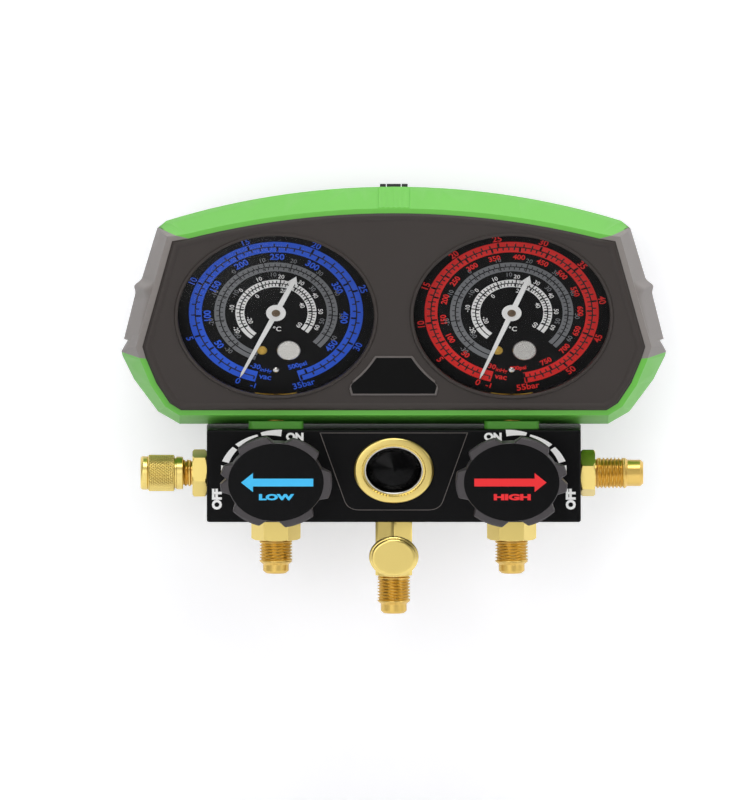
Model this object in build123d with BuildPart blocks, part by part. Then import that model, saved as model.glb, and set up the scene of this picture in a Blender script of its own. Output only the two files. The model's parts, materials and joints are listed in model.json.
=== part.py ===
from build123d import *
import os
from math import atan2, cos, degrees, hypot, radians, sin, tan

# Refrigerant manifold gauge: a valve block with two gauges in a padded housing.
# Millimetres. +X is the high-pressure side, -Y is the front, +Z is up.
# The origin is the tip of the centre service port, on its axis.

os.makedirs("parts", exist_ok=True)

# ---------------------------------------------------------------- driving dimensions
# Layout
can_radius = 35.5              # of each gauge
gauge_gap = 8.0                # between the two gauges
gauge_foot = 11.6              # each gauge's lowest point above the block
fit = 0.05                     # radial running clearance of a turning or sliding fit

# Manifold block
block_end = 23.2               # block's end beyond each knob's axis
block_height = 38.0
block_depth = 28.0
block_edge = 0.9
pad_proud = 0.6
pad_top_half = 24.9
pad_bottom_half = 15.5
pad_foot = 5.0                 # pad's lower edge above the block's underside
gallery_radius = 1.6
passage_radius = 1.9

# 1/4 SAE male flare, 7/16-20 UNF
flare_radius = 5.56
flare_tip_radius = 4.34
flare_hex = 14.3

# 5/16 SAE male flare, 1/2-20 UNF
large_flare_radius = 6.35
large_flare_tip_radius = 5.46

# Side ports
side_hex = 17.0
side_hex_length = 4.8
shank_length = 7.0

# Hose ports
hose_hex_length = 8.4
hose_thread_length = 9.2
hose_tip_length = 4.2

# Service tee
tee_length = 38.6              # block's underside to the service port's tip
tee_hex = 12.3
tee_branch_z = 25.0            # axis of the capped front branch above the tip
tee_hex_foot = 15.6
tee_tip_length = 4.5
tee_branch_reach = 21.5

# Knurled caps
cap_length = 14.3
cap_radius = 7.5
cap_collar_radius = 6.75
cap_rim_radius = 6.9
cap_floor = 2.0
cap_seal_thickness = 0.8
tee_cap_length = 10.0
tee_cap_radius = 8.3
tee_cap_rim_radius = 7.6

# Sight glass
sight_rise = 2.5               # above the valve axes
sight_radius = 13.4
sight_bore = 9.3
sight_well_radius = 7.5
sight_flange = 2.0
sight_shank_radius = 11.2
sight_shank = 8.0
sight_glass_thickness = 3.0
serration_count = 36

# Valves
plug_radius = 6.0
plug_length = 6.5
plug_front = -8.0               # Y of the plug's front
plug_port_depth = 3.1           # cross hole's axis behind the plug's front
stem_radius = 4.0
stem_square = 5.6
nut_hex = 17.0
nut_length = 4.5
nut_shank_radius = 8.0
nut_shank = 6.0
valve_bore_floor = 4.0         # Y of the valve chamber's floor

# Knobs
knob_back = 20.0               # back face in front of the port axes
knob_depth = 21.0
knob_radius = 18.8
knob_rim_radius = 16.2
knob_foot_radius = 11.5         # the knob narrows behind its lobes
knob_waist_radius = 15.8
knob_waist = 8.0               # from the knob's back
knob_rest_turn = 4.0           # of each closed knob from straight outwards
knob_lobe_width = 9.6
knob_lobe_count = 6
knob_wall = 2.6
knob_lip = 6.0                 # full-width front of the lobes
knob_hub_radius = 7.0
knob_cap_radius = 15.2
knob_cap_thickness = 1.6
knob_cap_proud = 0.3

# Gauge housing
bezel_face = 16.0              # front face in front of the port axes
bezel_thickness = 3.5
housing_back = 24.0            # back face behind the port axes
housing_wall = 2.5
window_cover = 2.6             # of each gauge's rim behind the bezel
window_lip_width = 1.3
window_lip_proud = 0.6
bumper_front = 15.0
bumper_wide_from = 3.0         # behind this the bumpers have their full size
bumper_back = 20.0
bumper_strip = 2.0
bumper_taper = 2.4             # the bumpers' back edge is this much inside their full size
bumper_crown = 9.2             # height of the top bumper's middle above the bezel
boss_width = 18.4
boss_depth = 17.0
stem_hole_clearance = 0.2
screw_radius = 1.3
screw_head_radius = 2.8
screw_head = 2.4
screw_bite = 2.2               # of each housing screw into the bezel
post_radius = 3.4
screw_gap = 1.4                # from each upper post to the gauge
lower_screw_gap = 4.4          # from each lower post to the gauge

# Gauges
can_wall = 0.8
can_back = 17.0
lens_thickness = 2.0
dial_clearance = 1.3           # round the dial in its can
dial_thickness = 0.8
calibration_proud = 0.7
dial_face = 2.0                # in front of the port axes
gauge_stem_radius = 5.0
gauge_stem_depth = 11.0        # into the block
tube_radius = 24.0             # Bourdon tube's centre line
tube_width = 9.0
tube_height = 2.8
tube_wall = 0.35
tube_middle = 7.5              # Y of the tube's middle
pointer_tip = 29.3
pointer_tail = 16.5
pointer_thickness = 0.5
pointer_hub_radius = 3.3
low_pointer_angle = 245.5      # at zero, anticlockwise from +X, seen from the front
high_pointer_angle = 248.4

# Gauge movement
gear_module = 0.3
pinion_teeth = 12
gear_ratio = 7
sector_tooth_count = 16
gear_backlash = 0.14
gear_flank = radians(20)         # slope of the teeth's flanks
sector_direction = -35.0       # from the pointer's axis to the sector's pivot
sector_thickness = 1.2
sector_front = 3.0             # Y of the sector's front face
arbor_radius = 0.8
plate_thickness = 1.0
front_plate_y = 1.0
back_plate_y = 6.0
tail_length = 8.0
tube_start = 255.0
tube_end = 20.0

# Hanging hook
hook_width = 4.7
hook_thickness = 3.0
hook_shank = 38.0
hook_inner_radius = 7.0
hook_pin_radius = 1.5
hook_barrel_radius = 3.0
hook_plane = 28.0              # Y of the hook's middle
hook_pivot_rise = 5.0          # above the bezel's top edge
ear_thickness = 2.0
bracket_thickness = 1.6

# ---------------------------------------------------------------- worked-out places
block_bottom = tee_length
block_top = block_bottom + block_height
axis_spacing = 2 * can_radius + gauge_gap  # of the gauges, the knobs and the hose ports
block_width = axis_spacing + 2 * block_end
window_radius = can_radius - window_cover
dial_radius = can_radius - can_wall - dial_clearance
block_front = -block_depth / 2
station = axis_spacing / 2
valve_z = block_bottom + block_height / 2
sight_z = valve_z + sight_rise
gauge_z = block_top + gauge_foot + can_radius
pad_face = block_front - pad_proud
gallery_y = plug_front + plug_port_depth
bezel_back = -bezel_face + bezel_thickness
can_front = bezel_back + lens_thickness
sector_radius = gear_module * pinion_teeth * gear_ratio / 2
pinion_radius = gear_module * pinion_teeth / 2
gear_centres = sector_radius + pinion_radius
sides = (("low", -1), ("high", 1))


def front_plane(y):
    """Upright plane at y that faces the viewer: its x is +X, its y is +Z, it extrudes to -Y."""
    return Plane(origin=(0, y, 0), x_dir=(1, 0, 0), z_dir=(0, -1, 0))


def front_plane_at(x, y, z):
    """Upright plane that faces the viewer, with its origin at a point."""
    return Plane(origin=(x, y, z), x_dir=(1, 0, 0), z_dir=(0, -1, 0))


def turning_plane(seat):
    """Half-plane through seat's axis: its x is the radius, its y runs along the axis."""
    return Plane(origin=seat.origin, x_dir=seat.x_dir, z_dir=seat.x_dir.cross(seat.z_dir))


def turned(seat, outline, mode=Mode.ADD):
    """Revolves an outline of (radius, distance along the axis) points about seat's axis."""
    with BuildSketch(turning_plane(seat)) as section:
        with BuildLine():
            Polyline(*outline, close=True)
        make_face()
    revolve(section.sketch, axis=Axis(seat.origin, seat.z_dir), mode=mode)


def polar(radius, angle):
    """Point at radius and angle in degrees."""
    return (radius * cos(radians(angle)), radius * sin(radians(angle)))


def save(piece, name):
    """Labels a finished piece and writes its STEP file."""
    piece.part.label = name
    export_step(piece.part, f"parts/{name}.step")


# ---------------------------------------------------------------- manifold block
with BuildPart() as manifold_block:
    with BuildSketch(Plane.XY.offset(block_bottom)):
        Rectangle(block_width, block_depth)
    extrude(amount=block_height)
    fillet(manifold_block.edges(), radius=block_edge)
    # Raised pad round the sight glass, narrower towards the bottom.
    with BuildSketch(front_plane(block_front)) as pad:
        with BuildLine():
            Polyline(
                (-pad_top_half, block_top - block_edge),
                (pad_top_half, block_top - block_edge),
                (pad_bottom_half, block_bottom + pad_foot),
                (-pad_bottom_half, block_bottom + pad_foot),
                close=True,
            )
        make_face()
        fillet(pad.vertices().group_by(Axis.Y)[0], radius=5)
    extrude(amount=pad_proud)
    # Sight-glass thread and the well behind it, which the gallery and the service passage meet.
    with BuildSketch(front_plane_at(0, pad_face, sight_z)):
        Circle(sight_shank_radius)
    extrude(amount=-(sight_shank + sight_glass_thickness), mode=Mode.SUBTRACT)
    with BuildSketch(front_plane_at(0, pad_face, sight_z)):
        Circle(sight_well_radius)
    extrude(amount=-(2 - pad_face), mode=Mode.SUBTRACT)
    with BuildSketch(Plane.YZ.offset(-station)):
        with Locations((gallery_y, valve_z)):
            Circle(gallery_radius)
    extrude(amount=axis_spacing, mode=Mode.SUBTRACT)
    with BuildSketch(Plane.XY.offset(block_bottom)):
        Circle(passage_radius)
    extrude(amount=sight_z - block_bottom, mode=Mode.SUBTRACT)
    with BuildSketch(Plane.XY.offset(block_bottom)):
        Circle(flare_tip_radius)
    extrude(amount=shank_length, mode=Mode.SUBTRACT)
    for name, side in sides:
        x = side * station
        # Valve bore with the packing nut's thread at its mouth.
        with BuildSketch(front_plane_at(x, block_front, valve_z)):
            Circle(plug_radius + fit)
        extrude(amount=-(valve_bore_floor - block_front), mode=Mode.SUBTRACT)
        with BuildSketch(front_plane_at(x, block_front, valve_z)):
            Circle(nut_shank_radius)
        extrude(amount=-nut_shank, mode=Mode.SUBTRACT)
        # Gauge thread above, hose-port thread below, and the passage between them.
        with BuildSketch(Plane.XY.offset(block_top)):
            with Locations((x, 0)):
                Circle(gauge_stem_radius)
        extrude(amount=-gauge_stem_depth, mode=Mode.SUBTRACT)
        with BuildSketch(Plane.XY.offset(block_bottom)):
            with Locations((x, 0)):
                Circle(flare_tip_radius)
        extrude(amount=shank_length, mode=Mode.SUBTRACT)
        with BuildSketch(Plane.XY.offset(block_bottom)):
            with Locations((x, 0)):
                Circle(passage_radius)
        extrude(amount=block_height - 1, mode=Mode.SUBTRACT)
        # Side-port thread and its passage to the valve chamber.
        face = Plane(origin=(side * block_width / 2, 0, valve_z), x_dir=(0, 1, 0), z_dir=(side, 0, 0))
        with BuildSketch(face):
            Circle(flare_tip_radius)
        extrude(amount=-shank_length, mode=Mode.SUBTRACT)
        with BuildSketch(face):
            Circle(passage_radius)
        extrude(amount=-(block_width / 2 - station), mode=Mode.SUBTRACT)
save(manifold_block, "manifold_block")


# ---------------------------------------------------------------- flare fittings
def flare_fitting(seat, hex_flats, hex_length, neck, thread, tip, nose, turn=0):
    """Brass male flare fitting that stands on seat: hexagon, neck, thread and nosed tip.

    neck, thread and tip are (radius, length); nose is the length of the 45 degree cone.
    """
    neck_end = hex_length + neck[1]
    thread_end = neck_end + thread[1]
    end = thread_end + tip[1]
    corner = hex_flats / 2 / cos(radians(30))
    hex_chamfer = (corner - hex_flats / 2) * 0.9
    with BuildPart() as fitting:
        with BuildSketch(seat):
            RegularPolygon(hex_flats / 2, 6, major_radius=False, rotation=turn)
        extrude(amount=hex_length)
        turned(
            seat,
            [
                (0, 0),
                (corner, 0),
                (corner, hex_length - hex_chamfer * 0.6),
                (corner - hex_chamfer, hex_length),
                (0, hex_length),
            ],
            mode=Mode.INTERSECT,
        )
        turned(
            seat,
            [
                (0, -shank_length),
                (flare_tip_radius, -shank_length),
                (flare_tip_radius, 0),
                (neck[0], 0),
                (neck[0], neck_end),
                (thread[0] - 0.5, neck_end),
                (thread[0], neck_end + 0.5),
                (thread[0], thread_end - 0.5),
                (tip[0], thread_end),
                (tip[0], end - nose),
                (tip[0] - nose, end),
                (0, end),
            ],
        )
        with BuildSketch(Plane(origin=seat.origin - seat.z_dir * shank_length, z_dir=seat.z_dir)):
            Circle(passage_radius)
        extrude(amount=end + shank_length, mode=Mode.SUBTRACT)
    return fitting


low_side_seat = Plane(origin=(-block_width / 2, 0, valve_z), x_dir=(0, 0, 1), z_dir=(-1, 0, 0))
low_neck = (4.6, 1.6)
low_thread = (flare_radius, 11.0)
low_tip = (flare_tip_radius, 2.0)
low_side_port = flare_fitting(
    low_side_seat, side_hex, side_hex_length, low_neck, low_thread, low_tip, 1.0, turn=15
)
save(low_side_port, "low_side_port")
low_port_length = side_hex_length + low_neck[1] + low_thread[1] + low_tip[1]

high_side_seat = Plane(origin=(block_width / 2, 0, valve_z), x_dir=(0, 0, 1), z_dir=(1, 0, 0))
high_side_port = flare_fitting(
    high_side_seat,
    side_hex,
    side_hex_length,
    (5.4, 3.0),
    (large_flare_radius, 8.5),
    (large_flare_tip_radius, 4.6),
    2.2,
    turn=8,
)
save(high_side_port, "high_side_port")

for name, side in sides:
    hose_seat = Plane(origin=(side * station, 0, block_bottom), x_dir=(1, 0, 0), z_dir=(0, 0, -1))
    hose_port = flare_fitting(
        hose_seat,
        flare_hex,
        hose_hex_length,
        (flare_radius - 0.6, 0.4),
        (flare_radius, hose_thread_length),
        (flare_tip_radius, hose_tip_length),
        0.9,
        turn=0,
    )
    save(hose_port, f"{name}_hose_port")

# ---------------------------------------------------------------- service tee
tee_seat = Plane(origin=(0, 0, block_bottom), x_dir=(1, 0, 0), z_dir=(0, 0, -1))
branch_seat = front_plane_at(0, 0, tee_branch_z)
with BuildPart() as service_tee:
    with BuildSketch(tee_seat):
        RegularPolygon(tee_hex / 2, 6, major_radius=False, rotation=30)
    extrude(amount=block_bottom - tee_hex_foot)
    tee_corner = tee_hex / 2 / cos(radians(30))
    turned(
        tee_seat,
        [
            (0, 0),
            (tee_corner - 0.9, 0),
            (tee_corner, 0.7),
            (tee_corner, block_bottom - tee_hex_foot - 0.7),
            (tee_corner - 0.9, block_bottom - tee_hex_foot),
            (0, block_bottom - tee_hex_foot),
        ],
        mode=Mode.INTERSECT,
    )
    tee_thread_end = block_bottom - tee_tip_length
    turned(
        tee_seat,
        [
            (0, -shank_length),
            (flare_tip_radius, -shank_length),
            (flare_tip_radius, tee_thread_end - 11),
            (flare_radius, tee_thread_end - 10.5),
            (flare_radius, tee_thread_end - 0.5),
            (flare_tip_radius, tee_thread_end),
            (flare_tip_radius, block_bottom - 0.9),
            (flare_tip_radius - 0.9, block_bottom),
            (0, block_bottom),
        ],
    )
    # Front branch, which the small cap closes.
    turned(
        branch_seat,
        [
            (0, 0),
            (flare_radius - 0.7, 0),
            (flare_radius - 0.7, 8.5),
            (flare_radius, 9.0),
            (flare_radius, tee_branch_reach - 2.5),
            (flare_tip_radius, tee_branch_reach - 2),
            (flare_tip_radius, tee_branch_reach - 0.6),
            (flare_tip_radius - 0.6, tee_branch_reach),
            (0, tee_branch_reach),
        ],
    )
    with BuildSketch(Plane.XY):
        Circle(passage_radius)
    extrude(amount=block_bottom + shank_length, mode=Mode.SUBTRACT)
    with BuildSketch(branch_seat):
        Circle(passage_radius)
    extrude(amount=tee_branch_reach, mode=Mode.SUBTRACT)
save(service_tee, "service_tee")


# ---------------------------------------------------------------- knurled caps and their seals
def knurled_cap(seat, length, radius, rim_radius, collar_radius, reach):
    """Blind brass cap whose mouth faces seat: collar, groove, knurled band and rounded rim.

    reach is the distance from seat to the tip of the port that the cap covers.
    """
    end = reach + cap_seal_thickness + cap_floor
    mouth = end - length
    with BuildPart() as cap:
        turned(
            seat,
            [
                (0, mouth),
                (collar_radius, mouth),
                (collar_radius, mouth + 2.3),
                (collar_radius - 0.5, mouth + 2.3),
                (collar_radius - 0.5, mouth + 2.9),
                (radius - 0.3, mouth + 2.9),
                (radius, mouth + 3.2),
                (radius, end - 2.9),
                (radius - 0.3, end - 2.6),
                (rim_radius - 0.2, end - 2.4),
                (rim_radius, end - 2.2),
                (rim_radius, end - 0.9),
                (rim_radius - 0.3, end - 0.3),
                (rim_radius - 0.9, end),
                (0, end),
            ],
        )
        turned(
            seat,
            [
                (0, mouth),
                (flare_radius + fit, mouth),
                (flare_radius + fit, end - cap_floor),
                (0, end - cap_floor),
            ],
            mode=Mode.SUBTRACT,
        )
    return cap


def cap_seal(seat, reach):
    """Rubber washer in a cap's floor, resting on the tip of the port."""
    with BuildPart() as seal:
        with BuildSketch(
            Plane(origin=seat.origin + seat.z_dir * reach, x_dir=seat.x_dir, z_dir=seat.z_dir)
        ):
            Circle(flare_radius)
        extrude(amount=cap_seal_thickness)
    return seal


low_port_cap = knurled_cap(
    low_side_seat, cap_length, cap_radius, cap_rim_radius, cap_collar_radius, low_port_length
)
save(low_port_cap, "low_port_cap")
low_cap_seal = cap_seal(low_side_seat, low_port_length)
save(low_cap_seal, "low_cap_seal")
tee_port_cap = knurled_cap(
    branch_seat, tee_cap_length, tee_cap_radius, tee_cap_rim_radius, tee_cap_rim_radius, tee_branch_reach
)
save(tee_port_cap, "tee_port_cap")
tee_cap_seal = cap_seal(branch_seat, tee_branch_reach)
save(tee_cap_seal, "tee_cap_seal")

# ---------------------------------------------------------------- sight glass
sight_seat = front_plane_at(0, pad_face, sight_z)
with BuildPart() as sight_glass_ring:
    turned(
        sight_seat,
        [
            (sight_bore, -sight_shank),
            (sight_shank_radius, -sight_shank),
            (sight_shank_radius, 0),
            (sight_radius, 0),
            (sight_radius, sight_flange - 0.5),
            (sight_radius - 0.5, sight_flange),
            (sight_bore + 1.6, sight_flange),
            (sight_bore, sight_flange - 1.2),
        ],
    )
    # Serrated inner edge, which the assembly key grips.
    with BuildSketch(sight_seat.offset(sight_flange)):
        with PolarLocations(sight_bore + 0.2, serration_count):
            RegularPolygon(0.75, 3, rotation=180)
    extrude(amount=-2.2, mode=Mode.SUBTRACT)
save(sight_glass_ring, "sight_glass_ring")

with BuildPart() as sight_glass_lens:
    turned(
        sight_seat,
        [
            (0, -sight_shank),
            (sight_bore, -sight_shank),
            (sight_bore, -sight_shank + 2.0),
            (sight_bore - 2.5, -sight_shank + 3.0),
            (0, -sight_shank + 3.4),
        ],
    )
save(sight_glass_lens, "sight_glass_lens")

with BuildPart() as sight_glass_seal:
    with BuildSketch(sight_seat.offset(-sight_shank - sight_glass_thickness)):
        Circle(sight_shank_radius)
        Circle(sight_well_radius, mode=Mode.SUBTRACT)
    extrude(amount=sight_glass_thickness)
save(sight_glass_seal, "sight_glass_seal")

# ---------------------------------------------------------------- valves and knobs
knob_front = -knob_back - knob_depth
square_back = -knob_back - 2.0
square_front = knob_front + 9.5
plug_back = plug_front + plug_length
for name, side in sides:
    x = side * station
    marker_angle = 180 - knob_rest_turn if side < 0 else knob_rest_turn
    valve_seat = front_plane_at(x, 0, valve_z)

    # Quarter-turn plug with its stem: an axial bore from the chamber turns out to the gallery.
    with BuildPart() as valve_stem:
        turned(
            valve_seat,
            [
                (0, -plug_back),
                (plug_radius - 0.4, -plug_back),
                (plug_radius, -plug_back + 0.4),
                (plug_radius, -plug_back + 0.5),
                (plug_radius - 0.7, -plug_back + 0.5),
                (plug_radius - 0.7, -plug_back + 1.3),
                (plug_radius, -plug_back + 1.3),
                (plug_radius, -plug_front - 1.2),
                (plug_radius - 0.7, -plug_front - 1.2),
                (plug_radius - 0.7, -plug_front - 0.4),
                (plug_radius, -plug_front - 0.4),
                (plug_radius, -plug_front),
                (stem_radius, -plug_front),
                (stem_radius, -square_back),
                (0, -square_back),
            ],
        )
        with BuildSketch(front_plane_at(x, square_back, valve_z)):
            Rectangle(stem_square, stem_square)
        extrude(amount=square_back - square_front)
        with BuildSketch(front_plane_at(x, plug_back, valve_z)):
            Circle(passage_radius)
        extrude(amount=plug_back - gallery_y, mode=Mode.SUBTRACT)
        with BuildSketch(Plane(origin=(x, gallery_y, valve_z), z_dir=(0, 0, 1))):
            Circle(gallery_radius)
        extrude(amount=plug_radius + 1, mode=Mode.SUBTRACT)
        with BuildSketch(front_plane_at(x, square_front, valve_z)):
            Circle(1.5)
        extrude(amount=-7, mode=Mode.SUBTRACT)
    save(valve_stem, f"{name}_valve_stem")

    with BuildPart() as stem_seals:
        for start in (-plug_back + 0.5, -plug_front - 1.2):
            with BuildSketch(valve_seat.offset(start)):
                Circle(plug_radius)
                Circle(plug_radius - 0.7, mode=Mode.SUBTRACT)
            extrude(amount=0.8)
    save(stem_seals, f"{name}_stem_seals")

    with BuildPart() as packing_nut:
        nut_seat = front_plane_at(x, block_front, valve_z)
        with BuildSketch(nut_seat):
            RegularPolygon(nut_hex / 2, 6, major_radius=False)
        extrude(amount=nut_length)
        chamfer(packing_nut.faces().sort_by(Axis.Y)[0].edges(), length=0.7)
        with BuildSketch(nut_seat):
            Circle(nut_shank_radius)
        extrude(amount=-nut_shank)
        with BuildSketch(nut_seat.offset(-nut_shank)):
            Circle(stem_radius + fit)
        extrude(amount=nut_shank + nut_length, mode=Mode.SUBTRACT)
    save(packing_nut, f"{name}_packing_nut")

    # Moulded handwheel: six lobes that narrow to the back, hollow at the back round its hub.
    with BuildPart() as knob:
        knob_seat = front_plane_at(x, -knob_back, valve_z)
        with BuildSketch(knob_seat) as lobes:
            with PolarLocations(0, knob_lobe_count, start_angle=marker_angle):
                Polygon(
                    (knob_rim_radius - 3, knob_lobe_width / 2 + 2.0),
                    (knob_radius + 1, knob_lobe_width / 2),
                    (knob_radius + 1, -knob_lobe_width / 2),
                    (knob_rim_radius - 3, -knob_lobe_width / 2 - 2.0),
                    align=None,
                )
            Circle(knob_radius, mode=Mode.INTERSECT)
            Circle(knob_rim_radius)
            fillet(lobes.vertices(), radius=0.8)
        extrude(amount=knob_depth)
        # The marker lobe, which points at OFF or ON, is split by a groove.
        with BuildSketch(knob_seat):
            with Locations(polar(knob_radius + 0.4, marker_angle)):
                Rectangle(3.6, 3.6, rotation=45)
        extrude(amount=knob_depth, mode=Mode.SUBTRACT)
        turned(
            knob_seat,
            [
                (0, 0),
                (knob_foot_radius, 0),
                (knob_waist_radius, knob_waist),
                (knob_radius, knob_depth - knob_lip),
                (knob_radius, knob_depth),
                (0, knob_depth),
            ],
            mode=Mode.INTERSECT,
        )
        chamfer(knob.faces().sort_by(Axis.Y)[0].edges(), length=0.6)
        with BuildSketch(knob_seat):
            Circle(knob_foot_radius - knob_wall)
            Circle(knob_hub_radius, mode=Mode.SUBTRACT)
        extrude(amount=knob_depth - 5.5, mode=Mode.SUBTRACT)
        with BuildSketch(knob_seat):
            Circle(stem_radius + fit)
        extrude(amount=2.0, mode=Mode.SUBTRACT)
        with BuildSketch(knob_seat):
            Rectangle(stem_square, stem_square)
        extrude(amount=knob_depth - 9.5, mode=Mode.SUBTRACT)
        with BuildSketch(knob_seat.offset(knob_depth - 9.5)):
            Circle(4.0)
        extrude(amount=9.5, mode=Mode.SUBTRACT)
        with BuildSketch(knob_seat.offset(knob_depth)):
            Circle(knob_cap_radius)
        extrude(amount=-(knob_cap_thickness - knob_cap_proud), mode=Mode.SUBTRACT)
    save(knob, f"{name}_knob")

    with BuildPart() as knob_screw:
        screw_seat = front_plane_at(x, square_front, valve_z)
        with BuildSketch(screw_seat):
            Circle(3.2)
        extrude(amount=2.2)
        with BuildSketch(screw_seat):
            Circle(1.5)
        extrude(amount=-6)
        with BuildSketch(screw_seat.offset(2.2)):
            Rectangle(4.4, 0.8)
            Rectangle(0.8, 4.4)
        extrude(amount=-1.2, mode=Mode.SUBTRACT)
    save(knob_screw, f"{name}_knob_screw")

    with BuildPart() as knob_cap:
        cap_back = knob_front + knob_cap_thickness - knob_cap_proud
        with BuildSketch(front_plane_at(x, cap_back, valve_z)):
            Circle(knob_cap_radius)
        extrude(amount=knob_cap_thickness)
        chamfer(knob_cap.faces().sort_by(Axis.Y)[0].edges(), length=0.3)
    save(knob_cap, f"{name}_knob_cap")

# ---------------------------------------------------------------- housing outlines
# Right-hand halves, from the top corner down to the bottom corner, as (x, z).
face_half = [
    (68.8, 155.5),
    (74.3, 154.4),
    (84.3, 110.9),
    (83.0, 105.9),
    (79.6, 96.0),
    (75.1, 87.7),
    (71.3, 84.8),
]
hull_half = [
    (76.2, 161.1),
    (79.3, 158.0),
    (91.5, 108.8),
    (90.9, 105.5),
    (87.0, 95.8),
    (79.0, 82.6),
    (71.8, 77.5),
]
face_crown = 165.9
hull_crown = face_crown + bumper_crown
# The outlines are drawn for gauge axes at 39.5 and 123.7 and a can of 35.5.
housing_shift = gauge_z - 123.7
housing_spread = station - 39.5
housing_grow = can_radius - 35.5


def housing_face(plane, half, crown, grow=0.0):
    """Closed symmetric face on plane: a crowned top arc, then straight runs down each side."""
    right = [(px + housing_spread, pz + housing_shift) for px, pz in half]
    left = [(-px, pz) for px, pz in reversed(right)]
    with BuildSketch(plane) as outline:
        with BuildLine():
            ThreePointArc(left[-1], (0, crown + housing_shift), right[0])
            Polyline(*right)
            Line(right[-1], left[0])
            Polyline(*left)
        make_face()
        if grow + housing_grow:
            offset(amount=grow + housing_grow, kind=Kind.INTERSECTION)
    return outline.sketch


gauge_centres = [(-station, gauge_z), (station, gauge_z)]
upper_x, upper_z = polar(can_radius + post_radius + screw_gap, 40.8)
lower_x, lower_z = polar(can_radius + post_radius + lower_screw_gap, -43.3)
screw_places = [
    (-station - upper_x, gauge_z + upper_z),
    (-station - lower_x, gauge_z + lower_z),
    (0, gauge_z - 33.2),
    (station + lower_x, gauge_z + lower_z),
    (station + upper_x, gauge_z + upper_z),
]

# ---------------------------------------------------------------- rear cover
with BuildPart() as rear_cover:
    extrude(housing_face(front_plane(housing_back), face_half, face_crown), amount=housing_back - bezel_back)
    chamfer(rear_cover.faces().sort_by(Axis.Y)[-1].edges(), length=2.0)
    hollow_back = housing_back - housing_wall
    hollow = housing_face(front_plane(hollow_back), face_half, face_crown, grow=-housing_wall)
    extrude(hollow, amount=hollow_back - bezel_back, mode=Mode.SUBTRACT)
    # Posts for the five housing screws, counterbored from the back.
    with BuildSketch(front_plane(hollow_back)):
        with Locations(*screw_places):
            Circle(post_radius)
    extrude(amount=hollow_back - bezel_back)
    with BuildSketch(front_plane(housing_back)):
        with Locations(*screw_places):
            Circle(screw_radius)
    extrude(amount=housing_back - bezel_back, mode=Mode.SUBTRACT)
    with BuildSketch(front_plane(housing_back)):
        with Locations(*screw_places):
            Circle(screw_head_radius)
    extrude(amount=screw_head, mode=Mode.SUBTRACT)
    with BuildSketch(Plane.XY.offset(block_top)):
        with Locations((-station, 0), (station, 0)):
            Circle(gauge_stem_radius + stem_hole_clearance)
    extrude(amount=20, mode=Mode.SUBTRACT)
save(rear_cover, "rear_cover")

with BuildPart() as housing_screws:
    for px, pz in screw_places:
        with BuildSketch(front_plane_at(px, housing_back - screw_head, pz)):
            Circle(screw_radius)
        extrude(amount=housing_back - screw_head - bezel_back + screw_bite)
        with BuildSketch(front_plane_at(px, housing_back, pz)):
            Circle(screw_head_radius)
        extrude(amount=screw_head)
save(housing_screws, "housing_screws")

# ---------------------------------------------------------------- front bezel
with BuildPart() as front_bezel:
    extrude(housing_face(front_plane(bezel_back), face_half, face_crown), amount=bezel_thickness)
    chamfer(front_bezel.faces().sort_by(Axis.Y)[0].edges(), length=1.0)
    with BuildSketch(front_plane(-bezel_face)):
        with Locations(*gauge_centres):
            Circle(window_radius + window_lip_width)
    extrude(amount=window_lip_proud)
    with BuildSketch(front_plane(bezel_back)):
        with Locations(*gauge_centres):
            Circle(window_radius)
    extrude(amount=bezel_thickness + window_lip_proud, mode=Mode.SUBTRACT)
    chamfer(front_bezel.edges().filter_by(GeomType.CIRCLE).group_by(Axis.Y)[0], length=0.3)
    with BuildSketch(front_plane(bezel_back)):
        with Locations(*screw_places):
            Circle(screw_radius)
    extrude(amount=screw_bite, mode=Mode.SUBTRACT)
save(front_bezel, "front_bezel")

# Bare plate between the gauges, its sides hollowed round the windows.
badge_gap = window_radius + 4.85  # from each gauge's axis to the plate's hollowed side
badge_top = gauge_z - 17.2
badge_low = gauge_z - 28.2
badge_foot = gauge_z - 31.9
with BuildPart() as badge_plate:
    with BuildSketch(front_plane(-bezel_face)) as badge:
        with BuildLine():
            Line((-5.8, badge_top), (5.8, badge_top))
            waist = polar(badge_gap, 217.7)
            ThreePointArc((5.8, badge_top), (station + waist[0], gauge_z + waist[1]), (14.5, badge_low))
            Line((14.5, badge_low), (13.7, badge_foot))
            Line((13.7, badge_foot), (-13.7, badge_foot))
            Line((-13.7, badge_foot), (-14.5, badge_low))
            ThreePointArc((-14.5, badge_low), (-station - waist[0], gauge_z + waist[1]), (-5.8, badge_top))
        make_face()
    extrude(amount=0.5)
save(badge_plate, "badge_plate")

# ---------------------------------------------------------------- bumpers and grips
# One padded band runs round the housing, widest behind its front edge; it is cut in four.
with BuildPart() as band:
    front_edge = housing_face(front_plane(-bumper_front), face_half, face_crown, grow=bumper_strip)
    wide_edge = housing_face(front_plane(bumper_wide_from), hull_half, hull_crown)
    loft([wide_edge, front_edge], ruled=True)
    back_edge = housing_face(front_plane(bumper_back), hull_half, hull_crown, grow=-bumper_taper)
    loft([back_edge, wide_edge], ruled=True)
    chamfer(band.faces().sort_by(Axis.Y)[-1].edges(), length=2.5)
    core = housing_face(front_plane(housing_back), face_half, face_crown)
    extrude(core, amount=2 * housing_back, mode=Mode.SUBTRACT)

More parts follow.
